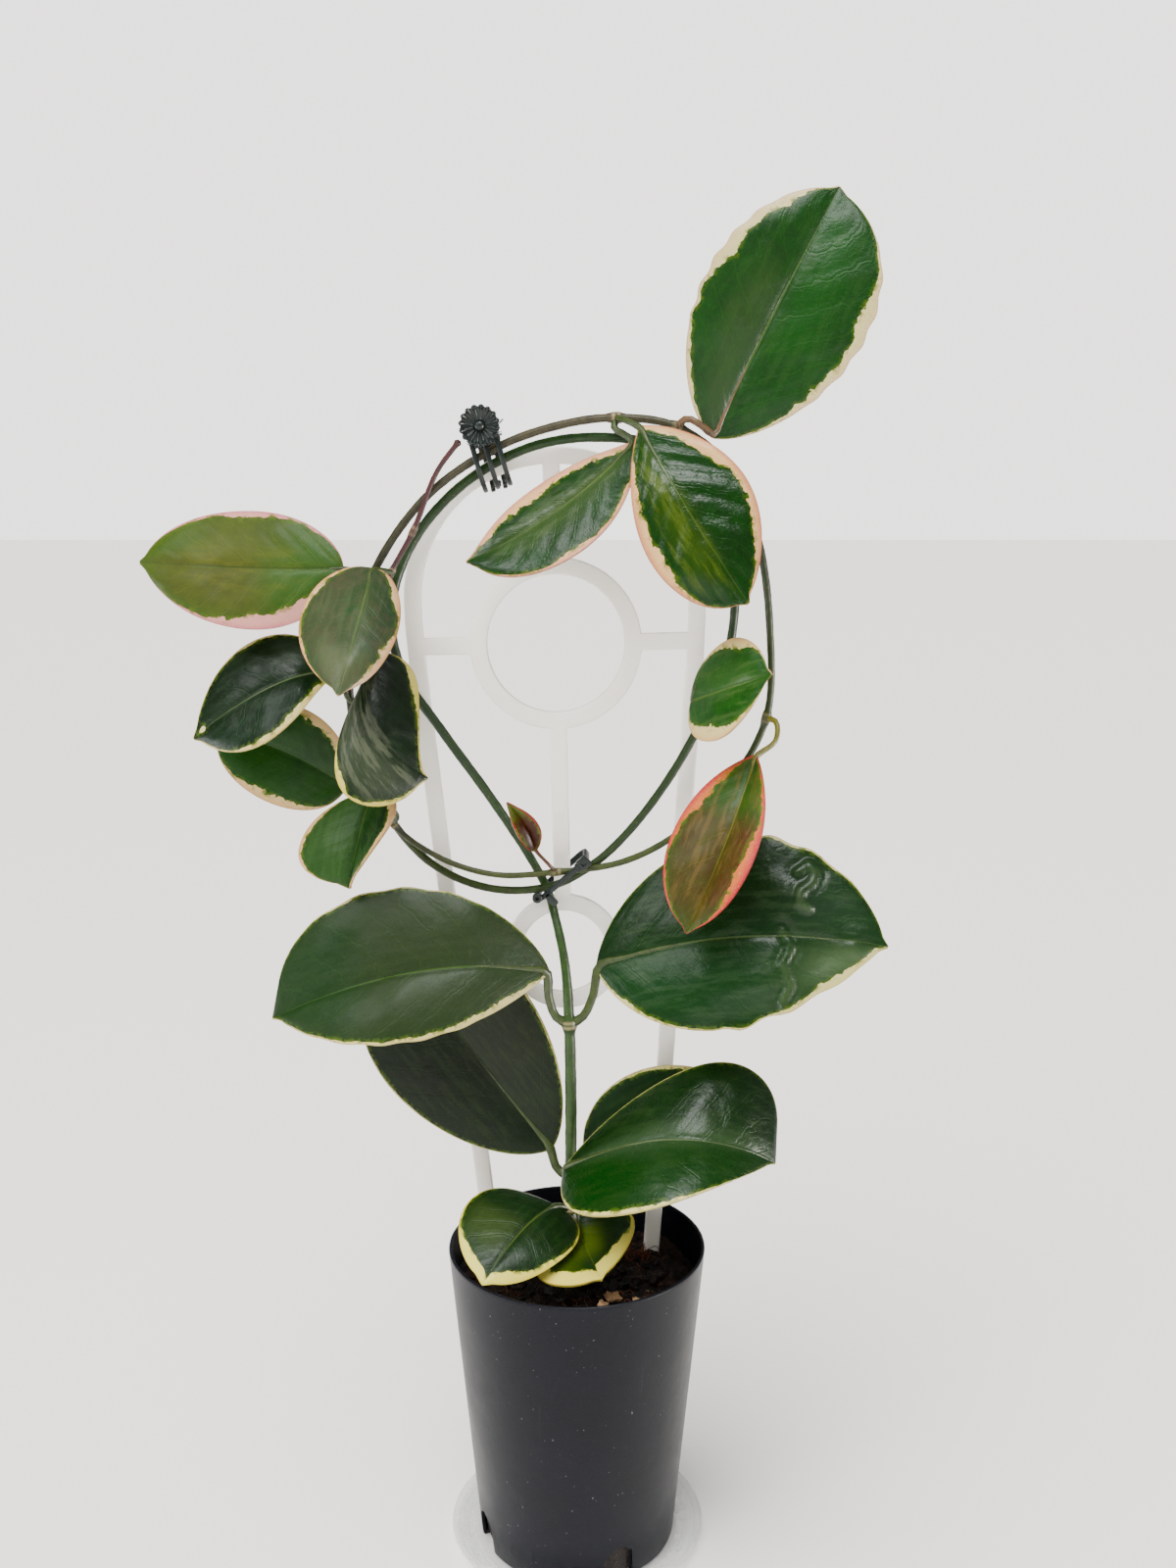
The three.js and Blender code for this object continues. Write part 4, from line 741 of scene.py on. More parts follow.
def leafSurface(leaf, along, across):
    base, control, tip, toLeft, toRight, up, breadth = leafFrame(leaf)
    width = leafShare(leaf, along, across)
    reach = np.abs(across) * np.maximum(width, blade["endHalfWidth"] / (breadth / 2))
    crown = blade["crown"] * breadth * reach * (1 - np.abs(across))
    turn = blade["ripples"] * along + np.where(across > 0, 0.0, 2.0)
    ripple = leaf["wave"] * np.sin(turn) * across ** 2 * width
    a = along[:, None]
    midrib = (1 - a) ** 2 * base + 2 * a * (1 - a) * control + a ** 2 * tip
    for side, turns, share, low, high in leaf.get("lobes", ()):
        # in and out bays of one edge: which side, waves along the blade, their share, and where
        ends = np.clip((along - low) / 0.08, 0, 1) * np.clip((high - along) / 0.08, 0, 1)
        onSide = (across * side > 0) * across ** 2
        reach = reach * (1 + share * ends * onSide * np.sin(2 * np.pi * turns * along))
    sideways = np.where((across < 0)[:, None], toLeft, toRight) * reach[:, None]
    return midrib + sideways + up * (crown + ripple)[:, None]


def washShare(along, across, low, high, left, right, softness=1.0):
    # 1 inside the given part of the blade, fading over its soft border
    def inside(value, first, last, soft):
        return 1 / (1 + np.exp(-(value - first) / soft)) / (1 + np.exp((value - last) / soft))
    return inside(along, low, high, 0.035 * softness) * inside(across, left, right, 0.07 * softness)


def makeBlade(name, leaf, seed):
    base, control, tip, toLeft, toRight, up, breadth = leafFrame(leaf)
    length = np.linalg.norm(tip - control) + np.linalg.norm(control - base)
    rows = max(44, int(length * blade["rowsPerMm"]))
    columns = 2 * max(16, int(breadth * blade["columnsPerMm"] / 2))
    piece, acrossShare, along = flatGrid(name, columns, rows)
    flatAcross = 2 * acrossShare - 1
    # the columns stand closer together near the edges, where the cream begins
    across = np.sign(flatAcross) * (1 - (1 - np.abs(flatAcross)) ** 1.35)
    along = 0.5 - 0.5 * np.cos(np.pi * (0.12 + 0.76 * along)) / np.cos(np.pi * 0.12)
    along = np.clip(along, 0, 1)
    sideReach = np.where(across < 0, np.linalg.norm(toLeft), np.linalg.norm(toRight))
    halfWidth = np.maximum(leafShare(leaf, along, across) * sideReach, blade["endHalfWidth"])
    edgeGap = (1 - np.abs(across)) * halfWidth
    midGap = np.abs(across) * halfWidth
    sweep = blade["veinSweep"] * np.abs(across) ** 1.2
    veinRun = blade["veins"] * (along - sweep) + 0.2 * np.tanh(20 * across)
    points = leafSurface(leaf, along, across)
    # the flesh swells a little between the side veins and sinks along the midrib
    swell = np.abs(np.sin(np.pi * veinRun)) ** 0.6 - 0.7
    fade = np.clip(edgeGap / 6, 0, 1) * np.clip(midGap / 3, 0, 1)
    draws = np.random.default_rng(seed)
    bump = np.zeros(len(along))
    for _ in range(6):
        turns, sideTurns, phase = draws.uniform(6, 20), draws.uniform(-9, 9), draws.uniform(0, 6.3)
        bump += np.sin(turns * along * length / 60 + sideTurns * across * breadth / 60 + phase)
    lift = leaf["pucker"] * (0.55 * swell * fade + 0.16 * bump * np.clip(edgeGap / 3, 0.15, 1))
    runOut = np.clip(along * 6, 0, 1) * np.clip((1 - along) * 6, 0, 1)
    lift -= 0.3 * np.exp(-((midGap / 0.9) ** 2)) * runOut
    points = points + up * lift[:, None]
    for dentAlong, dentAcross, radius, height in leaf.get("dents", ()):
        away = np.hypot((along - dentAlong) * length, across * halfWidth - dentAcross * sideReach)
        points = points + up * (height * np.exp(-((away / radius) ** 2)))[:, None]
    scarPaleAndSheen = np.zeros(len(along))
    for line in leaf.get("scars", ()):
        away = np.full(len(along), 99.0)
        here = np.stack([along * length, across * halfWidth], axis=1)
        marks = np.array([(a * length, c * 0.5 * breadth) for a, c in line])
        for first, last in zip(marks[:-1], marks[1:]):
            step = last - first
            share = np.clip(((here - first) @ step) / (step @ step), 0, 1)
            away = np.minimum(away, np.linalg.norm(here - first - share[:, None] * step, axis=1))
        points = points + up * (0.75 * np.exp(-((away / 1.5) ** 2)) - 0.5 * np.exp(
            -(((away - 2.6) / 1.3) ** 2)))[:, None]
        scarPaleAndSheen = np.maximum(scarPaleAndSheen, np.exp(-((away / 1.1) ** 2)))
    # the very tip is drawn out into a small point
    heading = (tip - control) / np.linalg.norm(tip - control)
    point = blade["tipPoint"] * np.exp(-((1 - along) * length / 2.6) ** 2 - (midGap / 1.5) ** 2)
    points = points + heading * point[:, None]
    placePoints(piece, points * millimetre)

    stations = np.linspace(0, 1, 9)
    leftMargin, rightMargin = (np.interp(along, stations, widths) for widths in leaf["margins"])
    margin = np.where(across < 0, leftMargin, rightMargin)
    rim = edgeGap - margin
    for patchAlong, patchAcross, radius in leaf.get("patches", ()):
        away = np.hypot((along - patchAlong) * length, across * halfWidth - patchAcross * sideReach)
        rim = np.minimum(rim, away - radius)
    green, second = (leafHue(h) for h in leaf["hues"][:2])
    cream, blush = (creamHue(h) for h in leaf["hues"][2:])
    rib, sideVein = (leafHue(h) for h in leaf["ribs"])
    sheen = leafHue(leaf.get("sheen", blade["sheen"]))
    greens = np.tile(green, (len(along), 1))
    seconds = np.tile(second, (len(along), 1))
    for hue, low, high, left, right, strength, *softness in leaf.get("washes", ()):
        laid = (strength * washShare(along, across, low, high, left, right, *softness))[:, None]
        colour = leafHue(hue)
        greens = greens * (1 - laid) + colour * laid
        seconds = seconds * (1 - laid) + (0.75 * colour + 0.25 * second) * laid
    # the scar ridges are painted paler: partly paler scar tissue, partly painted sheen where the ridge
    # catches the light
    pale = 0.35 * scarPaleAndSheen[:, None]
    greens = greens * (1 - pale) + leafHue("8fae8a") * pale
    # painted sheen: how strongly the sheen colour streaks the green, over the part of the blade it covers
    part = leaf.get("sheenStreakPart", blade["sheenStreakPart"])
    for key, values in (
            ("edgeGap", edgeGap), ("midGap", midGap), ("rim", rim), ("veinRun", veinRun), ("along", along),
            ("ragged", np.clip(margin / 2.8, 0.12, 1.0)), ("dull", np.full(len(along), leaf["dull"])),
            ("sheenStreakShare", leaf.get("sheenStreakShare", 0.1) * washShare(along, across, *part))):
        addFloats(piece, key, values)
    addTints(piece, "green", greens)
    addTints(piece, "second", seconds)
    for key, colour in (("cream", cream), ("blush", blush), ("rib", rib), ("sideVein", sideVein),
                        ("sheen", sheen), ("lip", 0.6 * blush + 0.4 * green)):
        addTints(piece, key, np.tile(colour, (len(along), 1)))
    attribute = piece.data.attributes.new("flow", "FLOAT_VECTOR", "POINT")
    flow = np.stack([across * halfWidth, 0.16 * along * length, np.full(len(along), 7.0 * seed)], axis=1)
    attribute.data.foreach_set("vector", (flow * millimetre).ravel())
    smoothShade(piece)
    for material in (leafTop, leafUnder):
        piece.data.materials.append(material)
    applyModifier(piece, "SOLIDIFY", thickness=blade["thickness"] * millimetre, offset=0.0,
                  material_offset=1, material_offset_rim=0)
    applyModifier(piece, "BEVEL", width=0.3 * millimetre, segments=2, limit_method="ANGLE",
                  angle_limit=math.radians(55))
    smoothShade(piece)
    return piece


def makeStalk(name, leaf):
    joint = vine["joints"][leaf["joint"]]
    start = np.array(vine["route"][joint][:3], dtype=float)
    under = leafSurface(leaf, np.array([0.012, 0.1, 0.3, 0.6, 0.86]), np.zeros(5))
    up = leafFrame(leaf)[5]
    depth = np.array([0.0, 0.3, 0.45, 0.45, 0.25])[:, None]
    path, _, run = throughPoints([start, *leaf["stalk"], *(under - up * depth)], blade["stalkRings"])
    share = run / run[-1]
    baseShare = 1 - np.linalg.norm(np.diff(under, axis=0), axis=1).sum() / run[-1]
    onBlade = np.clip((share - baseShare) / (1 - baseShare), 0, 1)
    radius = leaf["radius"] * (1 - 0.82 * onBlade ** 0.55)
    radius = radius * (1 + 0.18 * np.exp(-(((share - baseShare) / 0.05) ** 2)))
    radius = radius * (1 + 0.25 * np.exp(-((run / 3.0) ** 2)))
    piece = sweptTube(name, path, radius, blade["stalkSides"])
    tint = strongerHue(leaf.get("stalkHue", blade["stalkHue"]), 0.48, 1.2)
    addTints(piece, "stalkTint", np.tile(tint, (len(piece.data.vertices), 1)))
    tidyMesh(piece)
    smoothShade(piece)
    piece.data.materials.append(stalkMaterial)
    return piece


def makeLeaves():
    for seed, (name, leaf) in enumerate(leaves.items(), start=1):
        bladePiece = makeBlade(name + "_blade", leaf, seed)
        stalkPiece = makeStalk(name + "_stalk", leaf)
        piece = joinPieces([bladePiece, stalkPiece], name + "_grown")
        finished(piece, "plant", name)


makeLeaves()
print("stage: leaves made")


# Pot, saucer and trellis

def turnedRings(name, profile, segments):
    # a disc grown ring by ring along the profile, radius and height in millimetres
    deselectAll()
    radius, height = profile[0]
    bpy.ops.mesh.primitive_circle_add(
        vertices=segments, radius=radius * millimetre, fill_type="NGON",
        location=(0, 0, height * millimetre))
    piece = bpy.context.object
    piece.name = name
    piece.data.name = name
    bpy.ops.object.transform_apply(location=True, rotation=True, scale=True)
    bpy.ops.object.mode_set(mode="EDIT")
    bpy.ops.mesh.select_all(action="SELECT")
    for nextRadius, nextHeight in profile[1:]:
        bpy.ops.mesh.extrude_region_move(
            TRANSFORM_OT_translate={"value": (0, 0, (nextHeight - height) * millimetre)})
        share = nextRadius / radius
        bpy.ops.transform.resize(
            value=(share, share, 1), center_override=(0, 0, nextHeight * millimetre))
        radius, height = nextRadius, nextHeight
    bpy.ops.mesh.select_all(action="SELECT")
    bpy.ops.mesh.normals_make_consistent(inside=False)
    bpy.ops.object.mode_set(mode="OBJECT")
    return piece


def roundedOutline(width, depth, corner, steps=3):
    # a rectangle with rounded corners, as points round the section
    points = []
    for sx, sy, start in ((1, 1, 0), (-1, 1, 90), (-1, -1, 180), (1, -1, 270)):
        for i in range(steps + 1):
            turn = math.radians(start + 90 * i / steps)
            points.append((sx * (width / 2 - corner) + corner * math.cos(turn),
                           sy * (depth / 2 - corner) + corner * math.sin(turn)))
    return np.array(points)


def sweptSection(name, path, outline, flat, shares=None, closed=False):
    # a section carried along a path that lies square to the direction flat
    path = np.asarray(path, dtype=float)
    if closed:
        path = np.vstack([path, path[:1]])
        forward = np.roll(path[:-1], -1, axis=0) - np.roll(path[:-1], 1, axis=0)
        forward = np.vstack([forward, forward[:1]])
    else:
        forward = np.gradient(path, axis=0)
    forward /= np.linalg.norm(forward, axis=1)[:, None]
    second = np.tile(np.asarray(flat, dtype=float), (len(path), 1))
    first = np.cross(second, forward)
    piece, around, along = flatGrid(name, len(outline), len(path) - 1)
    ring = np.rint(along * (len(path) - 1)).astype(int)
    corner = np.rint(around * len(outline)).astype(int) % len(outline)
    shares = np.ones((len(path), 2)) if shares is None else np.asarray(shares)
    section = outline[corner] * shares[ring]
    points = path[ring] + section[:, :1] * first[ring] + section[:, 1:] * second[ring]
    placePoints(piece, points * millimetre)
    tidyMesh(piece)
    return piece


def roundedBox(name, low, high, softening, segments=3):
    # a block between two corners, its edges rounded off
    deselectAll()
    low, high = np.array(low, dtype=float), np.array(high, dtype=float)
    bpy.ops.mesh.primitive_cube_add(size=1)
    piece = bpy.context.object
    piece.name = name
    placePoints(piece, (pointsOf(piece) * (high - low) + (low + high) / 2) * millimetre)
    applyModifier(piece, "BEVEL", width=softening * millimetre, segments=segments, limit_method="NONE")
    return piece


def roundBar(name, radius, height, softening, at, axis, vertices=32):
    # a short round bar along X or Y, its two rims rounded off
    deselectAll()
    bpy.ops.mesh.primitive_cylinder_add(
        vertices=vertices, radius=radius * millimetre, depth=height * millimetre)
    piece = bpy.context.object
    piece.name = name
    applyModifier(piece, "BEVEL", width=softening * millimetre, segments=3, limit_method="ANGLE",
                  angle_limit=math.radians(50))
    turn = {"X": Matrix.Rotation(math.radians(90), 4, "Y"),
            "Y": Matrix.Rotation(math.radians(-90), 4, "X")}[axis]
    piece.data.transform(Matrix.Translation(Vector(at) * millimetre) @ turn)
    return piece


def cutAway(piece, cutter):
    applyModifier(piece, "BOOLEAN", object=cutter, operation="DIFFERENCE", solver="EXACT")
    bpy.data.objects.remove(cutter, do_unlink=True)


def mergeSolids(pieces, name):
    first = pieces[0]
    for other in pieces[1:]:
        applyModifier(first, "BOOLEAN", object=other, operation="UNION", solver="EXACT")
        bpy.data.objects.remove(other, do_unlink=True)
    first.name = name
    first.data.name = name
    return first


pot = {
    "foot": 1.3,
    "height": 109,
    "rimRadius": 45,
    "baseRadius": 34.7,
    "wall": 1.2,
    "segments": 192,
    "firstNotchDegrees": 24,
    "notchHalfWidth": 6,
    "notchHeight": 13.5,
    "hue": "080a11",
}


def makePotMaterial():
    # Nursery pot of recycled black polypropylene, injection moulded: satin, with a fine pimply skin,
    # small pale specks of dust and faint upright scuffs from being stacked
    material, add, place = newMaterial("mouldedPotPolypropylene")
    skin = add("TexNoise", {"Vector": place, "Scale": 1000 / 0.55, "Roughness": 0.6})
    dust = add("TexNoise", {"Vector": place, "Scale": 1000 / 1, "Detail": 1, "Roughness": 0.4})
    patch = add("TexNoise", {"Vector": place, "Scale": 1000 / 26, "Detail": 3, "Roughness": 0.55})
    upright = add("Mapping", {"Vector": place, "Scale": (1, 1, 0.07)})
    scuff = add("TexNoise", {"Vector": upright, "Scale": 1000 / 2.2, "Detail": 3, "Roughness": 0.6})
    body = linearColour(pot["hue"])
    for share, colour in (
            (add("MapRange", (patch, 0.3, 0.7)), "0b0d16"),
            (add("MapRange", (scuff, 0.6, 0.8, 0, 0.22)), "22242e"),
            (add("MapRange", (skin, 0.55, 0.72, 0, 0.3)), "1c1e28"),
            (add("MapRange", (dust, 0.76, 0.8, 0, 0.55)), "6c6d74")):
        body = add("Mix", {0: share, 6: body, 7: linearColour(colour)})
    height = add("Math", (patch, 0.25), operation="MULTIPLY")
    height = add("Math", (skin, 0.06, height), operation="MULTIPLY_ADD")
    shader = add("BsdfPrincipled", {
        "Base Color": body,
        "Roughness": add("MapRange", (patch, 0.3, 0.7, 0.3, 0.4)),
        "IOR": 1.49,
        "Specular IOR Level": 0.16,
        "Normal": add("Bump", {"Height": height, "Distance": millimetre})})
    add("OutputMaterial", {"Surface": shader})
    return material


def potRadiusAt(z):
    share = (z - pot["foot"]) / pot["height"]
    return pot["baseRadius"] + (pot["rimRadius"] - pot["baseRadius"]) * share


def makePot():
    foot, top = pot["foot"], pot["foot"] + pot["height"]
    base, rim, wall = pot["baseRadius"], pot["rimRadius"], pot["wall"]
    outside = [(potRadiusAt(z), z) for z in np.linspace(foot + 1.2, top - 1.4, 14)]
    inside = [(potRadiusAt(z) - wall, z) for z in np.linspace(top - 1.4, foot + 1.4, 12)]
    profile = [(base - 2.4, foot), (base - 0.8, foot), (base - 0.15, foot + 0.5), *outside,
               (rim - 0.05, top - 0.7), (rim - 0.15, top - 0.25), (rim - 0.45, top),
               (rim - 0.95, top), (rim - 1.2, top - 0.3), *inside]
    piece = turnedRings("pot_moulded", profile, pot["segments"])
    # four ragged drain notches, each cut through the wall and the bottom edge
    half, below, up = pot["notchHalfWidth"], foot - 2, foot + pot["notchHeight"]
    ragged = [(-half, below), (half, below), (half - 0.8, up - 3), (half - 3.6, up - 0.6),
              (half - 6.4, up), (-half + 1.4, up - 2.6), (-half + 0.4, up - 6)]
    for quarter in range(4):
        deselectAll()
        bpy.ops.mesh.primitive_circle_add(vertices=len(ragged), radius=1, fill_type="NGON")
        cutter = bpy.context.object
        placePoints(cutter, np.array([(x, -28.0, z) for x, z in ragged]) * millimetre)
        bpy.ops.object.mode_set(mode="EDIT")
        bpy.ops.mesh.select_all(action="SELECT")
        bpy.ops.mesh.extrude_region_move(TRANSFORM_OT_translate={"value": (0, -16 * millimetre, 0)})
        bpy.ops.mesh.select_all(action="SELECT")
        bpy.ops.mesh.normals_make_consistent(inside=False)
        bpy.ops.object.mode_set(mode="OBJECT")
        turn = math.radians(pot["firstNotchDegrees"] + 90 * quarter)
        cutter.data.transform(Matrix.Rotation(turn, 4, "Z"))
        cutAway(piece, cutter)
    smoothShade(piece, 32)
    piece.data.materials.append(makePotMaterial())
    finished(piece, "plant", "pot")


def makeSaucerMaterial():
    # Thin clear saucer, vacuum formed from PET sheet: colourless, its folds catching white lines
    material, add, place = newMaterial("clearFormedPet")
    haze = add("TexNoise", {"Vector": place, "Scale": 1000 / 9, "Detail": 3, "Roughness": 0.6})
    height = add("Math", (haze, 0.15), operation="MULTIPLY")
    shader = add("BsdfPrincipled", {
        "Base Color": linearColour("f0f2f2"),
        "Roughness": add("MapRange", (haze, 0.3, 0.7, 0.08, 0.2)),
        "IOR": 1.57,
        "Transmission Weight": 0.55,
        "Alpha": add("MapRange", (haze, 0.2, 0.8, 0.42, 0.55)),
        "Normal": add("Bump", {"Height": height, "Distance": millimetre})})
    add("OutputMaterial", {"Surface": shader})
    return material


def makeSaucer():
    profile = [(12, 0), (36.2, 0), (37, 0.15), (44.2, 2.5), (44.9, 2.9), (45.3, 3.3), (45.3, 3.65),
               (45.1, 3.8), (43.5, 3.8), (43.1, 3.6), (42.7, 2.9), (42.2, 2.55), (41.9, 2.75),
               (41.5, 2.7), (41.2, 2.2), (40.4, 1.95), (40.1, 2.15), (39.8, 1.95), (39.0, 1.4),
               (38.6, 1.5), (38.2, 1.3), (37.6, 1.1), (37.2, 1.25), (36.8, 1.05), (36, 1.0),
               (30.3, 1.0), (30, 1.15), (29.7, 1.0), (20.3, 1.0), (20, 1.15), (19.7, 1.0), (12, 1.0)]
    piece = turnedRings("saucer_formed", profile, 160)
    smoothShade(piece, 40)
    piece.data.materials.append(makeSaucerMaterial())
    finished(piece, "plant", "saucer")


makePot()
makeSaucer()
print("stage: pot and saucer made")


trellis = {
    "depthAt": 20,
    "thickness": 3.4,
    "corner": 0.75,
    "bar": 5.8,
    "lean": 0.0233,
    "shift": 0.4,
    "footHeight": 42,
    "pointHeight": 9,
    "legSpreadAtFloor": 20.7,
    "legFlare": 0.0854,
    "archCentre": 334,
    "rings": ((319.3, 29.3, 5.9), (210.7, 20.7, 5.8)),
    "ejectorMarks": ((-0.1, 260.9), (-48.2, 319.9)),
}


def makeTrellisMaterial():
    # White polypropylene moulding: milky, a soft gloss, faint flow clouds and a very fine orange peel
    material, add, place = newMaterial("whiteMouldedPolypropylene")
    clouds = add("TexNoise", {"Vector": place, "Scale": 1000 / 22, "Detail": 3})
    peel = add("TexNoise", {"Vector": place, "Scale": 1000 / 1.6})
    height = add("Math", (peel, 0.03), operation="MULTIPLY")
    shader = add("BsdfPrincipled", {
        "Base Color": add("Mix", {
            0: add("MapRange", (clouds, 0.3, 0.7)), 6: linearColour("fdf8f0"), 7: linearColour("f8f2e8")}),
        "Roughness": add("MapRange", (clouds, 0.3, 0.7, 0.3, 0.4)),
        "IOR": 1.49,
        "Subsurface Weight": 0.12,
        "Subsurface Radius": (0.003, 0.003, 0.0026),
        "Normal": add("Bump", {"Height": height, "Distance": millimetre})})
    add("OutputMaterial", {"Surface": shader})
    return material


def makeTrellis():
    flat = (0, 1, 0)
    section = roundedOutline(trellis["bar"], trellis["thickness"], trellis["corner"])

    def spreadAt(z):
        return trellis["legSpreadAtFloor"] + trellis["legFlare"] * z
    foot, shoulder = trellis["footHeight"], trellis["archCentre"]
    wide = spreadAt(shoulder - 12)
    heel = foot + trellis["pointHeight"]
    leftLeg = [(-spreadAt(z), z) for z in (foot, foot + 2, heel, 80, 120, 170, 220, 270, 310)]
    leftLeg += [(-wide, shoulder - 6)]
    arch = [(-wide * math.cos(t), shoulder + wide * math.sin(t)) for t in np.linspace(0, math.pi, 61)]
    rightLeg = [(-x, z) for x, z in reversed(leftLeg)]
    outlinePath = leftLeg + arch + rightLeg
    shares = np.ones((len(outlinePath), 2))
    for i, (x, z) in enumerate(outlinePath):
        shares[i, 0] = np.interp(z, (foot, heel), (0.12, 1.0))
    pieces = [sweptSection("frame", [(x, 0, z) for x, z in outlinePath], section, flat, shares)]
    for z, outer, band in trellis["rings"]:
        middle = outer - band / 2
        circle = [(middle * math.cos(t), 0, z + middle * math.sin(t))
                  for t in np.linspace(0, 2 * math.pi, 72, endpoint=False)]
        bandSection = roundedOutline(band, trellis["thickness"], trellis["corner"])
        pieces.append(sweptSection("ring", circle, bandSection, flat, closed=True))
        for side in (-1, 1):
            ends = (side * (outer - band / 2), 0, z), (side * spreadAt(z), 0, z)
            pieces.append(sweptSection("rung", ends, section, flat))
    highZ, highOuter, highBand = trellis["rings"][0]
    lowZ, lowOuter, lowBand = trellis["rings"][1]
    for low, high in ((highZ + highOuter - highBand / 2, shoulder + wide),
                      (lowZ + lowOuter - lowBand / 2, highZ - highOuter + highBand / 2)):
        pieces.append(sweptSection("middle_bar", [(0, 0, low), (0, 0, high)], section, flat))
    piece = mergeSolids(pieces, "trellis_moulded")
    marks = [roundBar("ejector", 1.7, 0.5, 0.12, (x, -trellis["thickness"] / 2 + 0.1, z), "Y")
             for x, z in trellis["ejectorMarks"]]
    piece = joinPieces([piece, *marks], "trellis_moulded")
    piece.data.transform(
        Matrix.Translation(Vector((trellis["shift"], trellis["depthAt"], 0)) * millimetre)
        @ Matrix.Rotation(-trellis["lean"], 4, "Y"))
    smoothShade(piece, 35)
    piece.data.materials.append(makeTrellisMaterial())
    finished(piece, "plant", "trellis")


makeTrellis()
print("stage: trellis made")


# Clip and tie, both small dark green mouldings

clip = {
    "hinge": (-30.2, 14, 387.2),
    "tilt": -0.275,
    "radius": 6.7,
    "petals": 16,
    "frontTooth": ((-6.4, -1), (-7, -5), (-7.2, -9), (-6, -13), (-3.4, -15.6), (-0.8, -16.8)),
    "rearTooth": ((9.4, -1), (9.8, -5), (9.8, -9.5), (8.9, -13.4), (6, -16), (2.6, -17)),
    "toothWidth": 1.75,
    "coilTurns": 3,
    "coilRadius": 1.6,
    "coilReach": 1.45,
    "coilSteps": 12,
    "wireRadius": 0.3,
    "wireRings": 220,
    "hue": "0b1412",
}

tie = {
    "centre": (-4.95, 14.6, 239.4),
    "slope": 0.717,
    "innerLength": 20.4,
    "innerDepth": 15.3,
    "wall": 1.4,
    "width": 2.2,
}


def makeClipMaterial():
    # Dark green polypropylene, injection moulded in a polished tool: soft highlights on every edge
    material, add, place = newMaterial("darkGreenPolypropylene")
    clouds = add("TexNoise", {"Vector": place, "Scale": 1000 / 5, "Detail": 3})
    peel = add("TexNoise", {"Vector": place, "Scale": 1000 / 0.6})
    height = add("Math", (peel, 0.004), operation="MULTIPLY")
    shader = add("BsdfPrincipled", {
        "Base Color": add("Mix", {
            0: add("MapRange", (clouds, 0.3, 0.7)), 6: linearColour(clip["hue"]),
            7: linearColour("111c19")}),
        "Roughness": add("MapRange", (peel, 0.3, 0.7, 0.28, 0.38)),
        "IOR": 1.49,
        "Specular IOR Level": 0.4,
        "Normal": add("Bump", {"Height": height, "Distance": millimetre})})
    add("OutputMaterial", {"Surface": shader})
    return material


def makeSteelMaterial():
    # Drawn spring wire, nickel bright, with fine drawing lines along it
    material, add, place = newMaterial("drawnSpringSteel")
    lines = add("TexNoise", {"Vector": place, "Scale": 1000 / 0.35, "Roughness": 0.6})
    height = add("Math", (lines, 0.01), operation="MULTIPLY")
    shader = add("BsdfPrincipled", {
        "Base Color": add("Mix", {0: lines, 6: linearColour("d4d6d8"), 7: linearColour("a9acb0")}),
        "Metallic": 1.0,
        "Roughness": add("MapRange", (lines, 0.3, 0.7, 0.18, 0.32)),
        "Normal": add("Bump", {"Height": height, "Distance": millimetre})})
    add("OutputMaterial", {"Surface": shader})
    return material


clipMaterial = makeClipMaterial()
steelMaterial = makeSteelMaterial()


def placeAt(piece, centre, turn):
    piece.data.transform(Matrix.Translation(Vector(centre) * millimetre) @ Matrix.Rotation(turn, 4, "Y"))


def prong(name, line, x, thickness, width):
    path, _, run = throughPoints([(0, y, z) for y, z in line], 28)
    share = run / run[-1]
    taper = 1 - 0.2 * share
    tip = np.clip((1 - share) / 0.05, 0, 1) ** 0.5 * 0.75 + 0.25
    outline = roundedOutline(thickness, width, 0.45)
    shares = np.stack([taper * tip, (1 - 0.12 * share) * tip], axis=1)
    return sweptSection(name, path + np.array((x, 0, 0)), outline, (1, 0, 0), shares)


def lugWithEye(name, x, width, arm):
    # an eye round the pin and its arm towards the plate
    eye = roundBar(name, 1.9, width, 0.2, (x, 0, 0), "X")
    low, high = sorted((0, arm))
    bar = roundedBox(name, (x - width / 2, low, -1.85), (x + width / 2, high, 1.85), 0.2)
    piece = mergeSolids([eye, bar], name)
    cutAway(piece, roundBar("bore", 1.0, width * 3, 0.05, (x, 0, 0), "X"))
    return piece


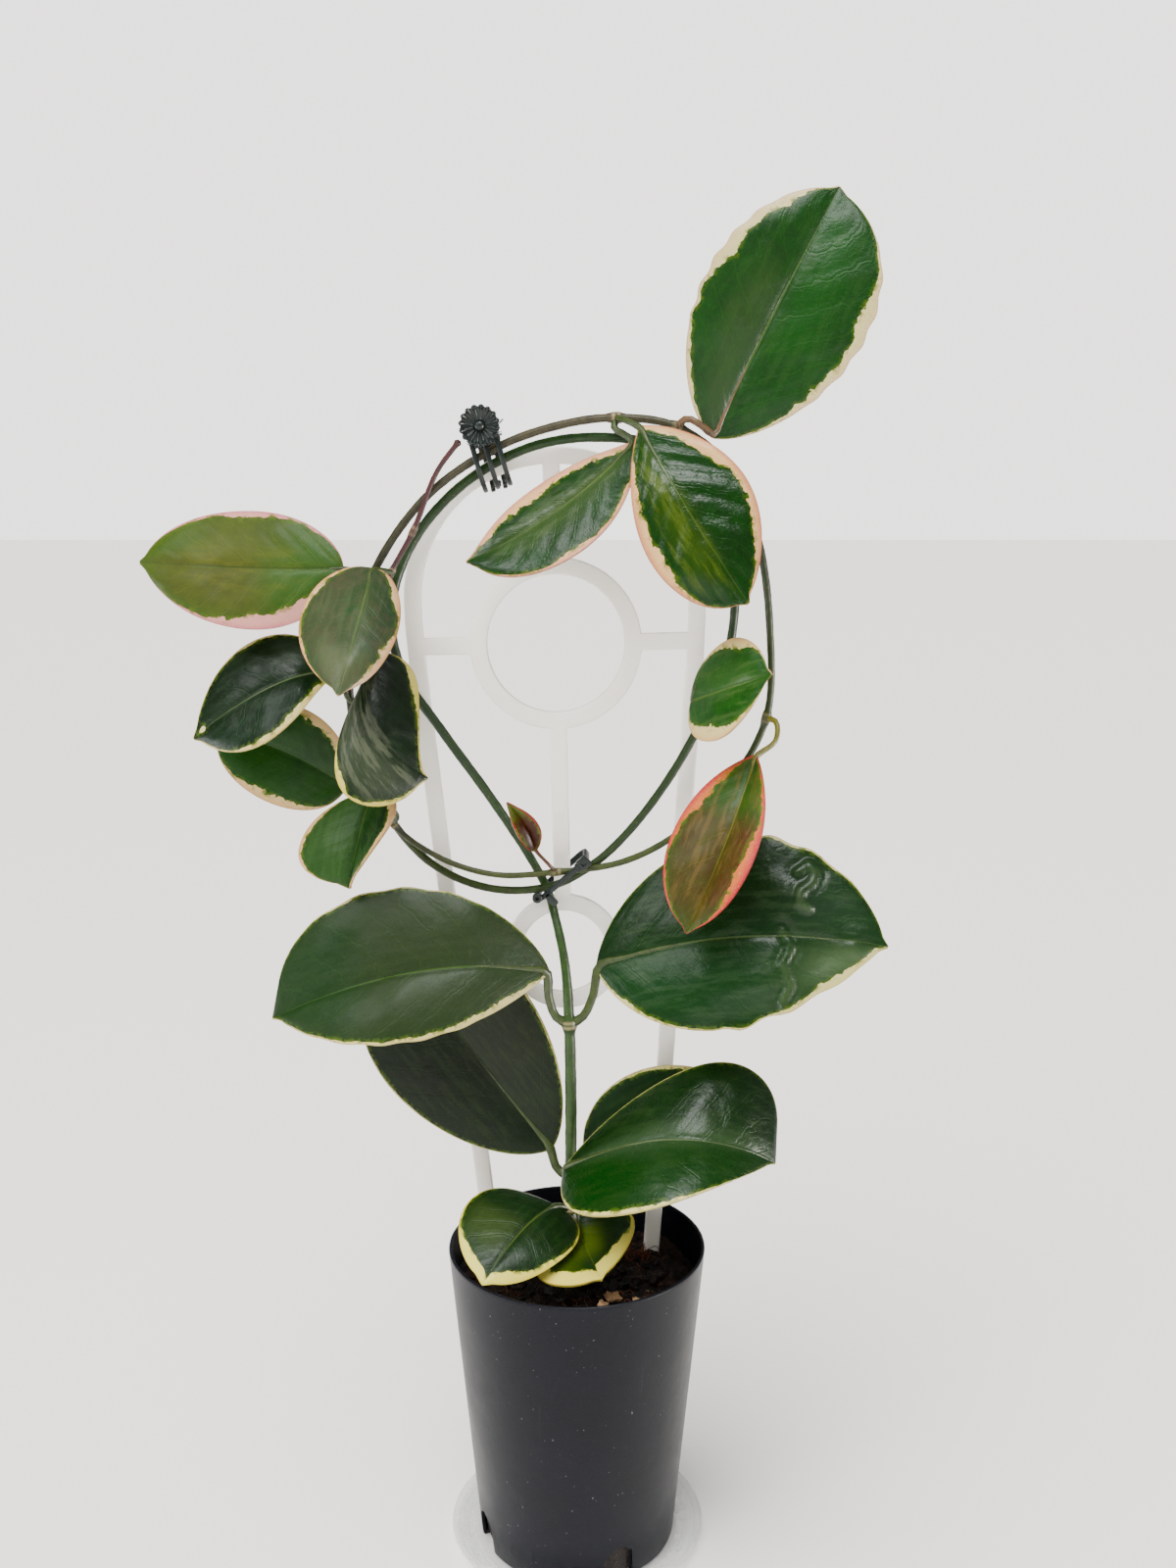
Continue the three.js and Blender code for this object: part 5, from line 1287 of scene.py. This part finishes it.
def makeFlower():
    radius = clip["radius"]
    disc = turnedRings("flower_disc", [
        (0.6, 0.7), (radius * 0.6, 0.6), (radius * 0.86, 0.1), (radius * 0.93, -0.5),
        (radius * 0.91, -1.15), (radius * 0.7, -0.75), (radius * 0.5, -0.42), (radius * 0.3, -0.18),
        (0.6, -0.1)], 72)
    parts = [disc]
    for i in range(clip["petals"]):
        turn = 2 * math.pi * i / clip["petals"]
        outward = np.array((math.cos(turn), math.sin(turn), 0))
        stations = np.array((1.5, 2.4, 3.6, 4.8, 5.6, 6.1, radius - 0.35, radius - 0.02))
        heights = np.array((-0.15, -0.25, -0.5, -0.85, -1.15, -1.3, -1.25, -1.1))
        path, _, run = throughPoints([outward * s + (0, 0, h) for s, h in zip(stations, heights)], 16)
        share = run / run[-1]
        wide = np.interp(share, (0, 0.35, 0.7, 0.88, 0.96, 1), (0.16, 0.3, 0.5, 0.95, 0.8, 0.3))
        deep = np.interp(share, (0, 0.35, 0.7, 0.88, 0.96, 1), (0.16, 0.26, 0.36, 0.8, 0.7, 0.25))
        side = np.cross((0, 0, 1), outward)
        turns = np.linspace(0, 2 * math.pi, 12, endpoint=False)
        ring = np.stack([np.cos(turns), np.sin(turns)], axis=1)
        petal = sweptSection("petal", path, ring, side, np.stack([deep, wide], axis=1))
        parts.append(petal)
    boss = turnedRings("boss", [
        (0.5, 0.2), (1.9, 0.2), (2.0, -0.3), (1.9, -0.9), (1.75, -1.05), (1.7, -1.3), (1.5, -1.7),
        (1.1, -2.02), (0.6, -2.2), (0.2, -2.25)], 40)
    parts.append(boss)
    piece = joinPieces(parts, "flower")
    # turned to face the front: the height of the petals points to -Y
    piece.data.transform(Matrix.Translation(Vector((0, -7.9, 3.6)) * millimetre)
                         @ Matrix.Rotation(math.radians(-90), 4, "X"))
    return piece


def bead(name, at, radius):
    deselectAll()
    bpy.ops.mesh.primitive_ico_sphere_add(
        subdivisions=3, radius=radius * millimetre, location=[v * millimetre for v in at])
    bpy.ops.object.transform_apply(location=True, rotation=True, scale=True)
    piece = bpy.context.object
    piece.name = name
    return piece


def makeClip():
    width = clip["toothWidth"]
    front = [makeFlower(), roundedBox("plate", (-5.1, -7.4, -3), (5.1, -5.7, 1.9), 0.4)]
    front += [prong("tooth", clip["frontTooth"], x, 1.8, width) for x in (-4.2, 0, 4.2)]
    front += [lugWithEye("lug", x, 1.2, -6.5) for x in (-4.5, 4.5)]
    front += [bead("tip_bead", (x, y, z), r) for x, y, z, r in (
        (0.85, -3.3, -15.1, 0.75), (0.6, -2.1, -15.9, 0.7), (3.5, -4.1, -14.6, 0.75),
        (3.5, -2.7, -15.6, 0.65), (-4.2, -2.4, -15.9, 0.65))]
    frontJaw = joinPieces(front, "clip_flower_jaw")
    rear = [roundBar("handle", 5.6, 1.5, 0.45, (0, 9.4, 4.4), "Y", 64),
            roundBar("handle_ring", 4.3, 1.9, 0.3, (0, 9.4, 4.4), "Y", 64),
            roundedBox("plate", (-3.5, 8.6, -5.6), (3.5, 10.1, 1.9), 0.4)]
    rear += [prong("tooth", clip["rearTooth"], x, 1.6, width) for x in (-2.1, 2.1)]
    rear += [lugWithEye("lug", x, 1.2, 9) for x in (-2.9, 2.9)]
    rearJaw = joinPieces(rear, "clip_back_jaw")
    pin = joinPieces([roundBar("pin", 0.7, 12, 0.15, (0, 0, 0), "X", 24)], "clip_hinge_pin")
    radius, reach, steps = clip["coilRadius"], clip["coilReach"], clip["coilSteps"]
    whole = clip["coilTurns"] * steps
    wire = [(7.6, -2, 4), (5.6, -0.3, 3.1), (2.6, -0.2, 2.9)]  # the end that shows beside the flower
    for i in range(whole + 1):
        angle = 2 * math.pi * i / steps
        wire.append((reach - 2 * reach * i / whole, radius * math.sin(angle), radius * math.cos(angle)))
    wire += [(-1.6, 2.4, 2.6), (-1.6, 6.6, 4.2)]  # the end against the rear jaw
    path = throughPoints(wire, clip["wireRings"])[0]
    spring = sweptTube("clip_wire_spring", path, clip["wireRadius"], 12)
    tidyMesh(spring)
    for piece, body, slotName, node, material in (
            (frontJaw, "front_jaw", "clip_plastic", "clip_front_jaw", clipMaterial),
            (rearJaw, "plant", "clip_plastic", "clip_rear_jaw", clipMaterial),
            (pin, "plant", "spring_steel", "clip_pin", steelMaterial),
            (spring, "plant", "spring_steel", "clip_spring", steelMaterial)):
        placeAt(piece, clip["hinge"], clip["tilt"])
        smoothShade(piece, 40)
        piece.data.materials.append(material)
        finished(piece, body, node)


def makeTie():
    wall, width = tie["wall"], tie["width"]
    halfX, halfY, corner = tie["innerLength"] / 2 + wall / 2, tie["innerDepth"] / 2 + wall / 2, 3.7
    loopPath = []
    for sx, sy, start in ((1, 1, 0), (-1, 1, 90), (-1, -1, 180), (1, -1, 270)):
        for i in range(9):
            turn = math.radians(start + 90 * i / 8)
            loopPath.append((sx * (halfX - corner) + corner * math.cos(turn),
                             sy * (halfY - corner) + corner * math.sin(turn), 0))
    dense = []
    for a, b in zip(loopPath, loopPath[1:] + loopPath[:1]):
        steps = max(1, int(math.dist(a, b) / 1.2))
        dense += [tuple(np.array(a) + (np.array(b) - np.array(a)) * k / steps) for k in range(steps)]
    # the band widens towards the head at its upper right end
    shares = [(1.0, 0.8 + 0.22 * (p[0] + halfX) / (2 * halfX)) for p in dense]
    shares.append(shares[0])
    band = sweptSection("band", dense, roundedOutline(wall, width, 0.35), (0, 0, 1), shares, closed=True)
    front = -tie["innerDepth"] / 2 - wall
    end = tie["innerLength"] / 2 + wall
    head = roundedBox("head", (end - 3.6, front - 1.6, -1.9), (end + 0.4, front + 1, 2.1), 0.3)
    cutAway(head, roundedBox("slot", (end - 2.7, front - 2.2, -0.7), (end - 0.9, front - 0.7, 0.9), 0.1))
    nub = roundedBox("nub", (end - 1.4, front - 1.3, 1.6), (end + 0.2, front + 0.4, 2.1), 0.2)
    collar = roundedBox("collar", (end - 4.9, front - 0.5, -1.5), (end - 3.4, front + 1, 1.6), 0.35)
    peg = roundedBox("peg", (-end + 3.6, front - 1.3, -4.8), (-end + 6, front + 1, 0.6), 0.45)
    barb = roundedBox("barb", (-end + 3.6, front - 1.3, -0.9), (-end + 6.0, front + 1, 0.6), 0.35)
    loop = roundBar("loop", 1.7, 2.4, 0.35, (-end + 1.4, front + 0.2, 1.2), "Y")
    cutAway(loop, roundBar("eye", 0.7, 4, 0.1, (-end + 1.4, front - 1.2, 1.2), "Y"))
    piece = joinPieces([band, head, nub, collar, peg, barb, loop], "tie_moulded")
    placeAt(piece, tie["centre"], -tie["slope"])
    smoothShade(piece, 40)
    piece.data.materials.append(clipMaterial)
    finished(piece, "plant", "tie_clip")


makeClip()
makeTie()
print("stage: clip and tie made")


# Potting mix: bark, coir and peat, with pale chips of wood and fibres of coir at the right leg

soil = {
    "level": 97.6,
    "radius": 43.2,
    "bottom": 3.2,
    "wallGap": 1.9,
    "slump": 1.2,
    "slumpRadius": 43,
    "rings": 44,
    "topRings": 26,
    "segments": 120,
    "chips": 210,
    "chipReach": 41.5,
    "fibres": 46,
    "fibreReach": 37,
    "paleChips": (
        # place across, depth, size, lift above the mix, turn
        (12.3, -18.4, 4.6, 2.4, 0.4), (8.6, -24.8, 4.2, 2.6, 1.2), (-6.5, -34.4, 5.0, 1.8, 0.2),
        (16.4, -28.6, 3.4, 1.4, 2.0), (-24.5, -29.0, 3.6, 1.6, 0.7), (20.8, -22.0, 3.2, 1.2, 2.6),
        (2.0, -36.8, 2.6, 1.6, 1.7), (24.4, -14.0, 3.0, 1.4, 0.9),
    ),
}


def makeMixMaterial(name, dark, brown, ochre, roughness):
    # Composted bark and peat: nearly black when damp, with brown splinters and dull facets
    material, add, place = newMaterial(name)
    crumb = add("TexNoise", {"Vector": place, "Scale": 1000 / 1.3, "Detail": 4, "Roughness": 0.65})
    lump = add("TexNoise", {"Vector": place, "Scale": 1000 / 5, "Detail": 3, "Roughness": 0.6})
    splinter = add("TexNoise", {
        "Vector": place, "Scale": 1000 / 2.4, "Detail": 3, "Roughness": 0.6, "Distortion": 1.2})
    body = linearColour(dark)
    for share, colour in (
            (add("MapRange", (lump, 0.35, 0.7)), brown),
            (add("MapRange", (splinter, 0.6, 0.72, 0, 0.6)), ochre)):
        body = add("Mix", {0: share, 6: body, 7: linearColour(colour)})
    height = add("Math", (splinter, 0.4), operation="MULTIPLY")
    height = add("Math", (crumb, 0.5, height), operation="MULTIPLY_ADD")
    shader = add("BsdfPrincipled", {
        "Base Color": body,
        "Roughness": add("MapRange", (crumb, 0.3, 0.7, roughness - 0.15, roughness)),
        "IOR": 1.4,
        "Normal": add("Bump", {"Height": height, "Distance": millimetre})})
    add("OutputMaterial", {"Surface": shader})
    return material


def mixHeight(x, y):
    # the uneven top of the mix, a little lower all round its edge
    fromMiddle = math.hypot(x, y) / soil["slumpRadius"]
    rise = 1.1 * math.sin(x * 0.21 + 1.1) * math.cos(y * 0.19 + 0.4)
    rise += 0.9 * math.sin(x * 0.47 + y * 0.39) + 0.45 * math.sin(x * 1.1 - y * 0.8)
    return soil["level"] + rise - soil["slump"] * fromMiddle ** 4


def makeSoil():
    top, count = soil["topRings"], soil["rings"]
    piece, turnShare, along = flatGrid("soil_bed", soil["segments"], count)
    step = np.rint(along * count).astype(int)
    angle = 2 * np.pi * turnShare
    points = np.zeros((len(along), 3))
    for i, (s, a) in enumerate(zip(step, angle)):
        if s <= top:
            r = soil["radius"] * (s / top) ** 0.9
            x, y = r * math.cos(a), r * math.sin(a)
            points[i] = (x, y, mixHeight(x, y))
        elif s < count:
            share = (s - top) / (count - 1 - top)
            z = soil["level"] - 2 + (soil["bottom"] - soil["level"] + 2) * share
            r = potRadiusAt(z) - soil["wallGap"] + 0.25 * math.sin(9 * a + s)
            points[i] = (r * math.cos(a), r * math.sin(a), z)
        else:
            points[i] = (0, 0, soil["bottom"])
    placePoints(piece, points * millimetre)
    tidyMesh(piece)
    smoothShade(piece, 60)
    mixMaterial = makeMixMaterial("dampBarkMix", "0b0706", "1c110b", "4a2a16", 0.85)
    barkMaterial = makeMixMaterial("compostedBark", "0d0908", "26170f", "5c3a22", 0.7)
    paleMaterial = makeMixMaterial("paleWoodChip", "8f6e4e", "b8946c", "d0b48e", 0.75)
    fibreMaterial = makeMixMaterial("coirFibre", "4a2412", "6e3a1e", "8f5a30", 0.75)
    piece.data.materials.append(mixMaterial)
    draws = random.Random(11)
    deselectAll()
    bpy.ops.mesh.primitive_cube_add(size=1)
    model = bpy.context.object
    applyModifier(model, "SUBSURF", levels=2, render_levels=2, subdivision_type="SIMPLE")
    applyModifier(model, "BEVEL", width=0.06, segments=1, limit_method="ANGLE", angle_limit=0.6)
    base = pointsOf(model)

    def chipAt(x, y, size, lift, turn, flatness, material, name):
        copy = model.copy()
        copy.data = model.data.copy()
        copy.name = name
        bpy.context.collection.objects.link(copy)
        shape = base * np.array((size, size * draws.uniform(0.45, 0.75), size * flatness))
        wave = [draws.uniform(0.5, 1.1) for _ in range(4)]
        shape = shape + 0.09 * size * np.sin(shape[:, [1, 2, 0]] * wave[0] * 6 / size + wave[1] * 6)
        shape = shape + 0.05 * size * np.sin(shape[:, [2, 0, 1]] * wave[2] * 13 / size + wave[3] * 6)
        rotation = Matrix.Rotation(turn, 3, "Z") @ Matrix.Rotation(draws.uniform(-0.5, 0.5), 3, "X")
        rotation = rotation @ Matrix.Rotation(draws.uniform(-0.4, 0.4), 3, "Y")
        shape = shape @ np.array(rotation).T
        placePoints(copy, (shape + np.array((x, y, mixHeight(x, y) + lift))) * millimetre)
        copy.data.materials.clear()
        copy.data.materials.append(material)
        return copy

    chips = []
    while len(chips) < soil["chips"]:
        angle = draws.uniform(0, 2 * math.pi)
        size = draws.uniform(1.8, 6.5)
        reach = (soil["chipReach"] - size * 0.62) * math.sqrt(draws.random())
        x, y = reach * math.cos(angle), reach * math.sin(angle)
        if math.hypot(x + 1.5, y) < 4 + size / 2:  # no chip lies across the foot of the stem
            continue
        chips.append(chipAt(x, y, size, draws.uniform(-0.4, 1.2), draws.uniform(0, 6.3),
                            draws.uniform(0.22, 0.5), barkMaterial, "bark_chip"))
    for x, y, size, lift, turn in soil["paleChips"]:
        chips.append(chipAt(x, y, size, lift, turn, 0.42, paleMaterial, "pale_chip"))
    bpy.data.objects.remove(model, do_unlink=True)
    fibres = []
    for i in range(soil["fibres"]):
        # the fibres lie round the foot of the right leg and curl out of the mix
        cx, cy = (23, 12) if i % 3 else (draws.uniform(-20, 24), draws.uniform(-30, -8))
        x, y = cx + draws.gauss(0, 4.5), cy + draws.gauss(0, 3.5)
        if math.hypot(x, y) > soil["fibreReach"]:
            continue
        turn, reach = draws.uniform(0, 6.3), draws.uniform(2.5, 6.5)
        z = mixHeight(x, y)
        points = [(x, y, z - 0.6),
                  (x + 0.35 * reach * math.cos(turn), y + 0.35 * reach * math.sin(turn),
                   z + draws.uniform(0.8, 2.6)),
                  (x + 0.75 * reach * math.cos(turn + 0.5), y + 0.75 * reach * math.sin(turn + 0.5),
                   z + draws.uniform(0.5, 2.8)),
                  (x + reach * math.cos(turn + 0.9), y + reach * math.sin(turn + 0.9),
                   z + draws.uniform(-0.5, 1.4))]
        path = throughPoints(points, 12)[0]
        fibre = sweptTube("coir_fibre", path, np.linspace(0.2, 0.09, 12), 5)
        tidyMesh(fibre)
        fibre.data.materials.append(fibreMaterial)
        fibres.append(fibre)
    whole = joinPieces([piece, *chips, *fibres], "soil_mix")
    finished(whole, "plant", "soil")


makeSoil()
print("stage: potting mix made")


# Floor, light and camera

stage = {
    "floorSize": 60000,
    "floorHue": "fdfcfa",
    "lens": 33.75,
    "pitch": 10.1,
    "cameraAt": (3.9, -482, 360),
    "roomLight": 0.32,
    "backdropLight": 2.74,
}


def makeFloor():
    # Painted floor: matt and pale, with a very faint unevenness of its coat
    material, add, place = newMaterial("paintedFloor")
    grain = add("TexNoise", {"Vector": place, "Scale": 1000 / 400})
    shader = add("BsdfPrincipled", {
        "Base Color": add("Mix", {
            0: add("Math", (grain, 0.05), operation="MULTIPLY"), 6: linearColour(stage["floorHue"]),
            7: linearColour("ecebe8")}),
        "Roughness": 0.75})
    add("OutputMaterial", {"Surface": shader})
    deselectAll()
    bpy.ops.mesh.primitive_plane_add(size=stage["floorSize"] * millimetre)
    floor = bpy.context.object
    floor.name = "floor"
    floor.data.materials.append(material)


def addSoftbox(name, at, target, size, watts, tint):
    deselectAll()
    bpy.ops.object.light_add(type="AREA", location=[v * millimetre for v in at])
    lamp = bpy.context.object
    lamp.name = name
    lamp.data.shape = "RECTANGLE"
    lamp.data.size = size[0] * millimetre
    lamp.data.size_y = size[1] * millimetre
    lamp.data.energy = watts
    lamp.data.color = linearColour(tint)[:3]
    aim = Vector(target) - Vector(at)
    lamp.rotation_euler = aim.to_track_quat("-Z", "Y").to_euler()
    return lamp


def addSun(name, direction, strength, spread, tint):
    # a soft far light, even over the whole floor
    deselectAll()
    bpy.ops.object.light_add(type="SUN")
    lamp = bpy.context.object
    lamp.name = name
    lamp.data.energy = strength
    lamp.data.angle = math.radians(spread)
    lamp.data.color = linearColour(tint)[:3]
    lamp.rotation_euler = Vector(direction).to_track_quat("-Z", "Y").to_euler()
    lamp.visible_glossy = False  # the glossy skins mirror the softboxes alone


def makeLights():
    addSun("window_sky", (0.3, 0.34, -1.0), 6.7, 60, "fffcf8")
    addSoftbox("key_window", (-520, -620, 900), (0, 0, 280), (300, 400), 3.4, "ffffff")
    addSun("front_fill", (0.1, 1.0, -0.2), 1.1, 60, "ffffff")
    glints = addSoftbox("top_glints", (150, -420, 1000), (0, 0, 300), (500, 160), 6.5, "ffffff")
    glints.visible_diffuse = False  # only for the gleam on the waxy leaves
    # two upright boxes, only for the gleam down the sides of the pot
    for name, at, size, watts, tint in (
            ("side_left", (-700, -250, 175), (150, 300), 2.5, "f6f9ff"),
            ("side_right", (700, -250, 175), (170, 300), 10.5, "fffaf2")):
        gleam = addSoftbox(name, at, (0, 0, 175), size, watts, tint)
        gleam.visible_diffuse = False
    world = bpy.context.scene.world or bpy.data.worlds.new("softRoom")
    bpy.context.scene.world = world
    world.use_nodes = True
    world.node_tree.nodes.clear()
    # the room is seen brighter than it lights
    add = partial(addNode, world.node_tree)
    seen = add("LightPath", output="Is Camera Ray")
    strength = add("MapRange", (seen, 0, 1, stage["roomLight"], stage["backdropLight"]))
    background = add("Background", {"Color": linearColour("f6f4f1"), "Strength": strength})
    add("OutputWorld", {"Surface": background})


def makeCamera():
    data = bpy.data.cameras.new("photographersEye")
    camera = bpy.data.objects.new("photographersEye", data)
    bpy.context.collection.objects.link(camera)
    data.sensor_width = 36
    data.sensor_height = 36
    data.sensor_fit = "AUTO"
    data.lens = stage["lens"]
    data.clip_start = 0.01
    data.clip_end = 200
    camera.location = [v * millimetre for v in stage["cameraAt"]]
    camera.rotation_euler = (math.radians(90 - stage["pitch"]), 0, 0)
    bpy.context.scene.camera = camera


makeFloor()
makeLights()
makeCamera()
print("stage: floor, lights and camera made")
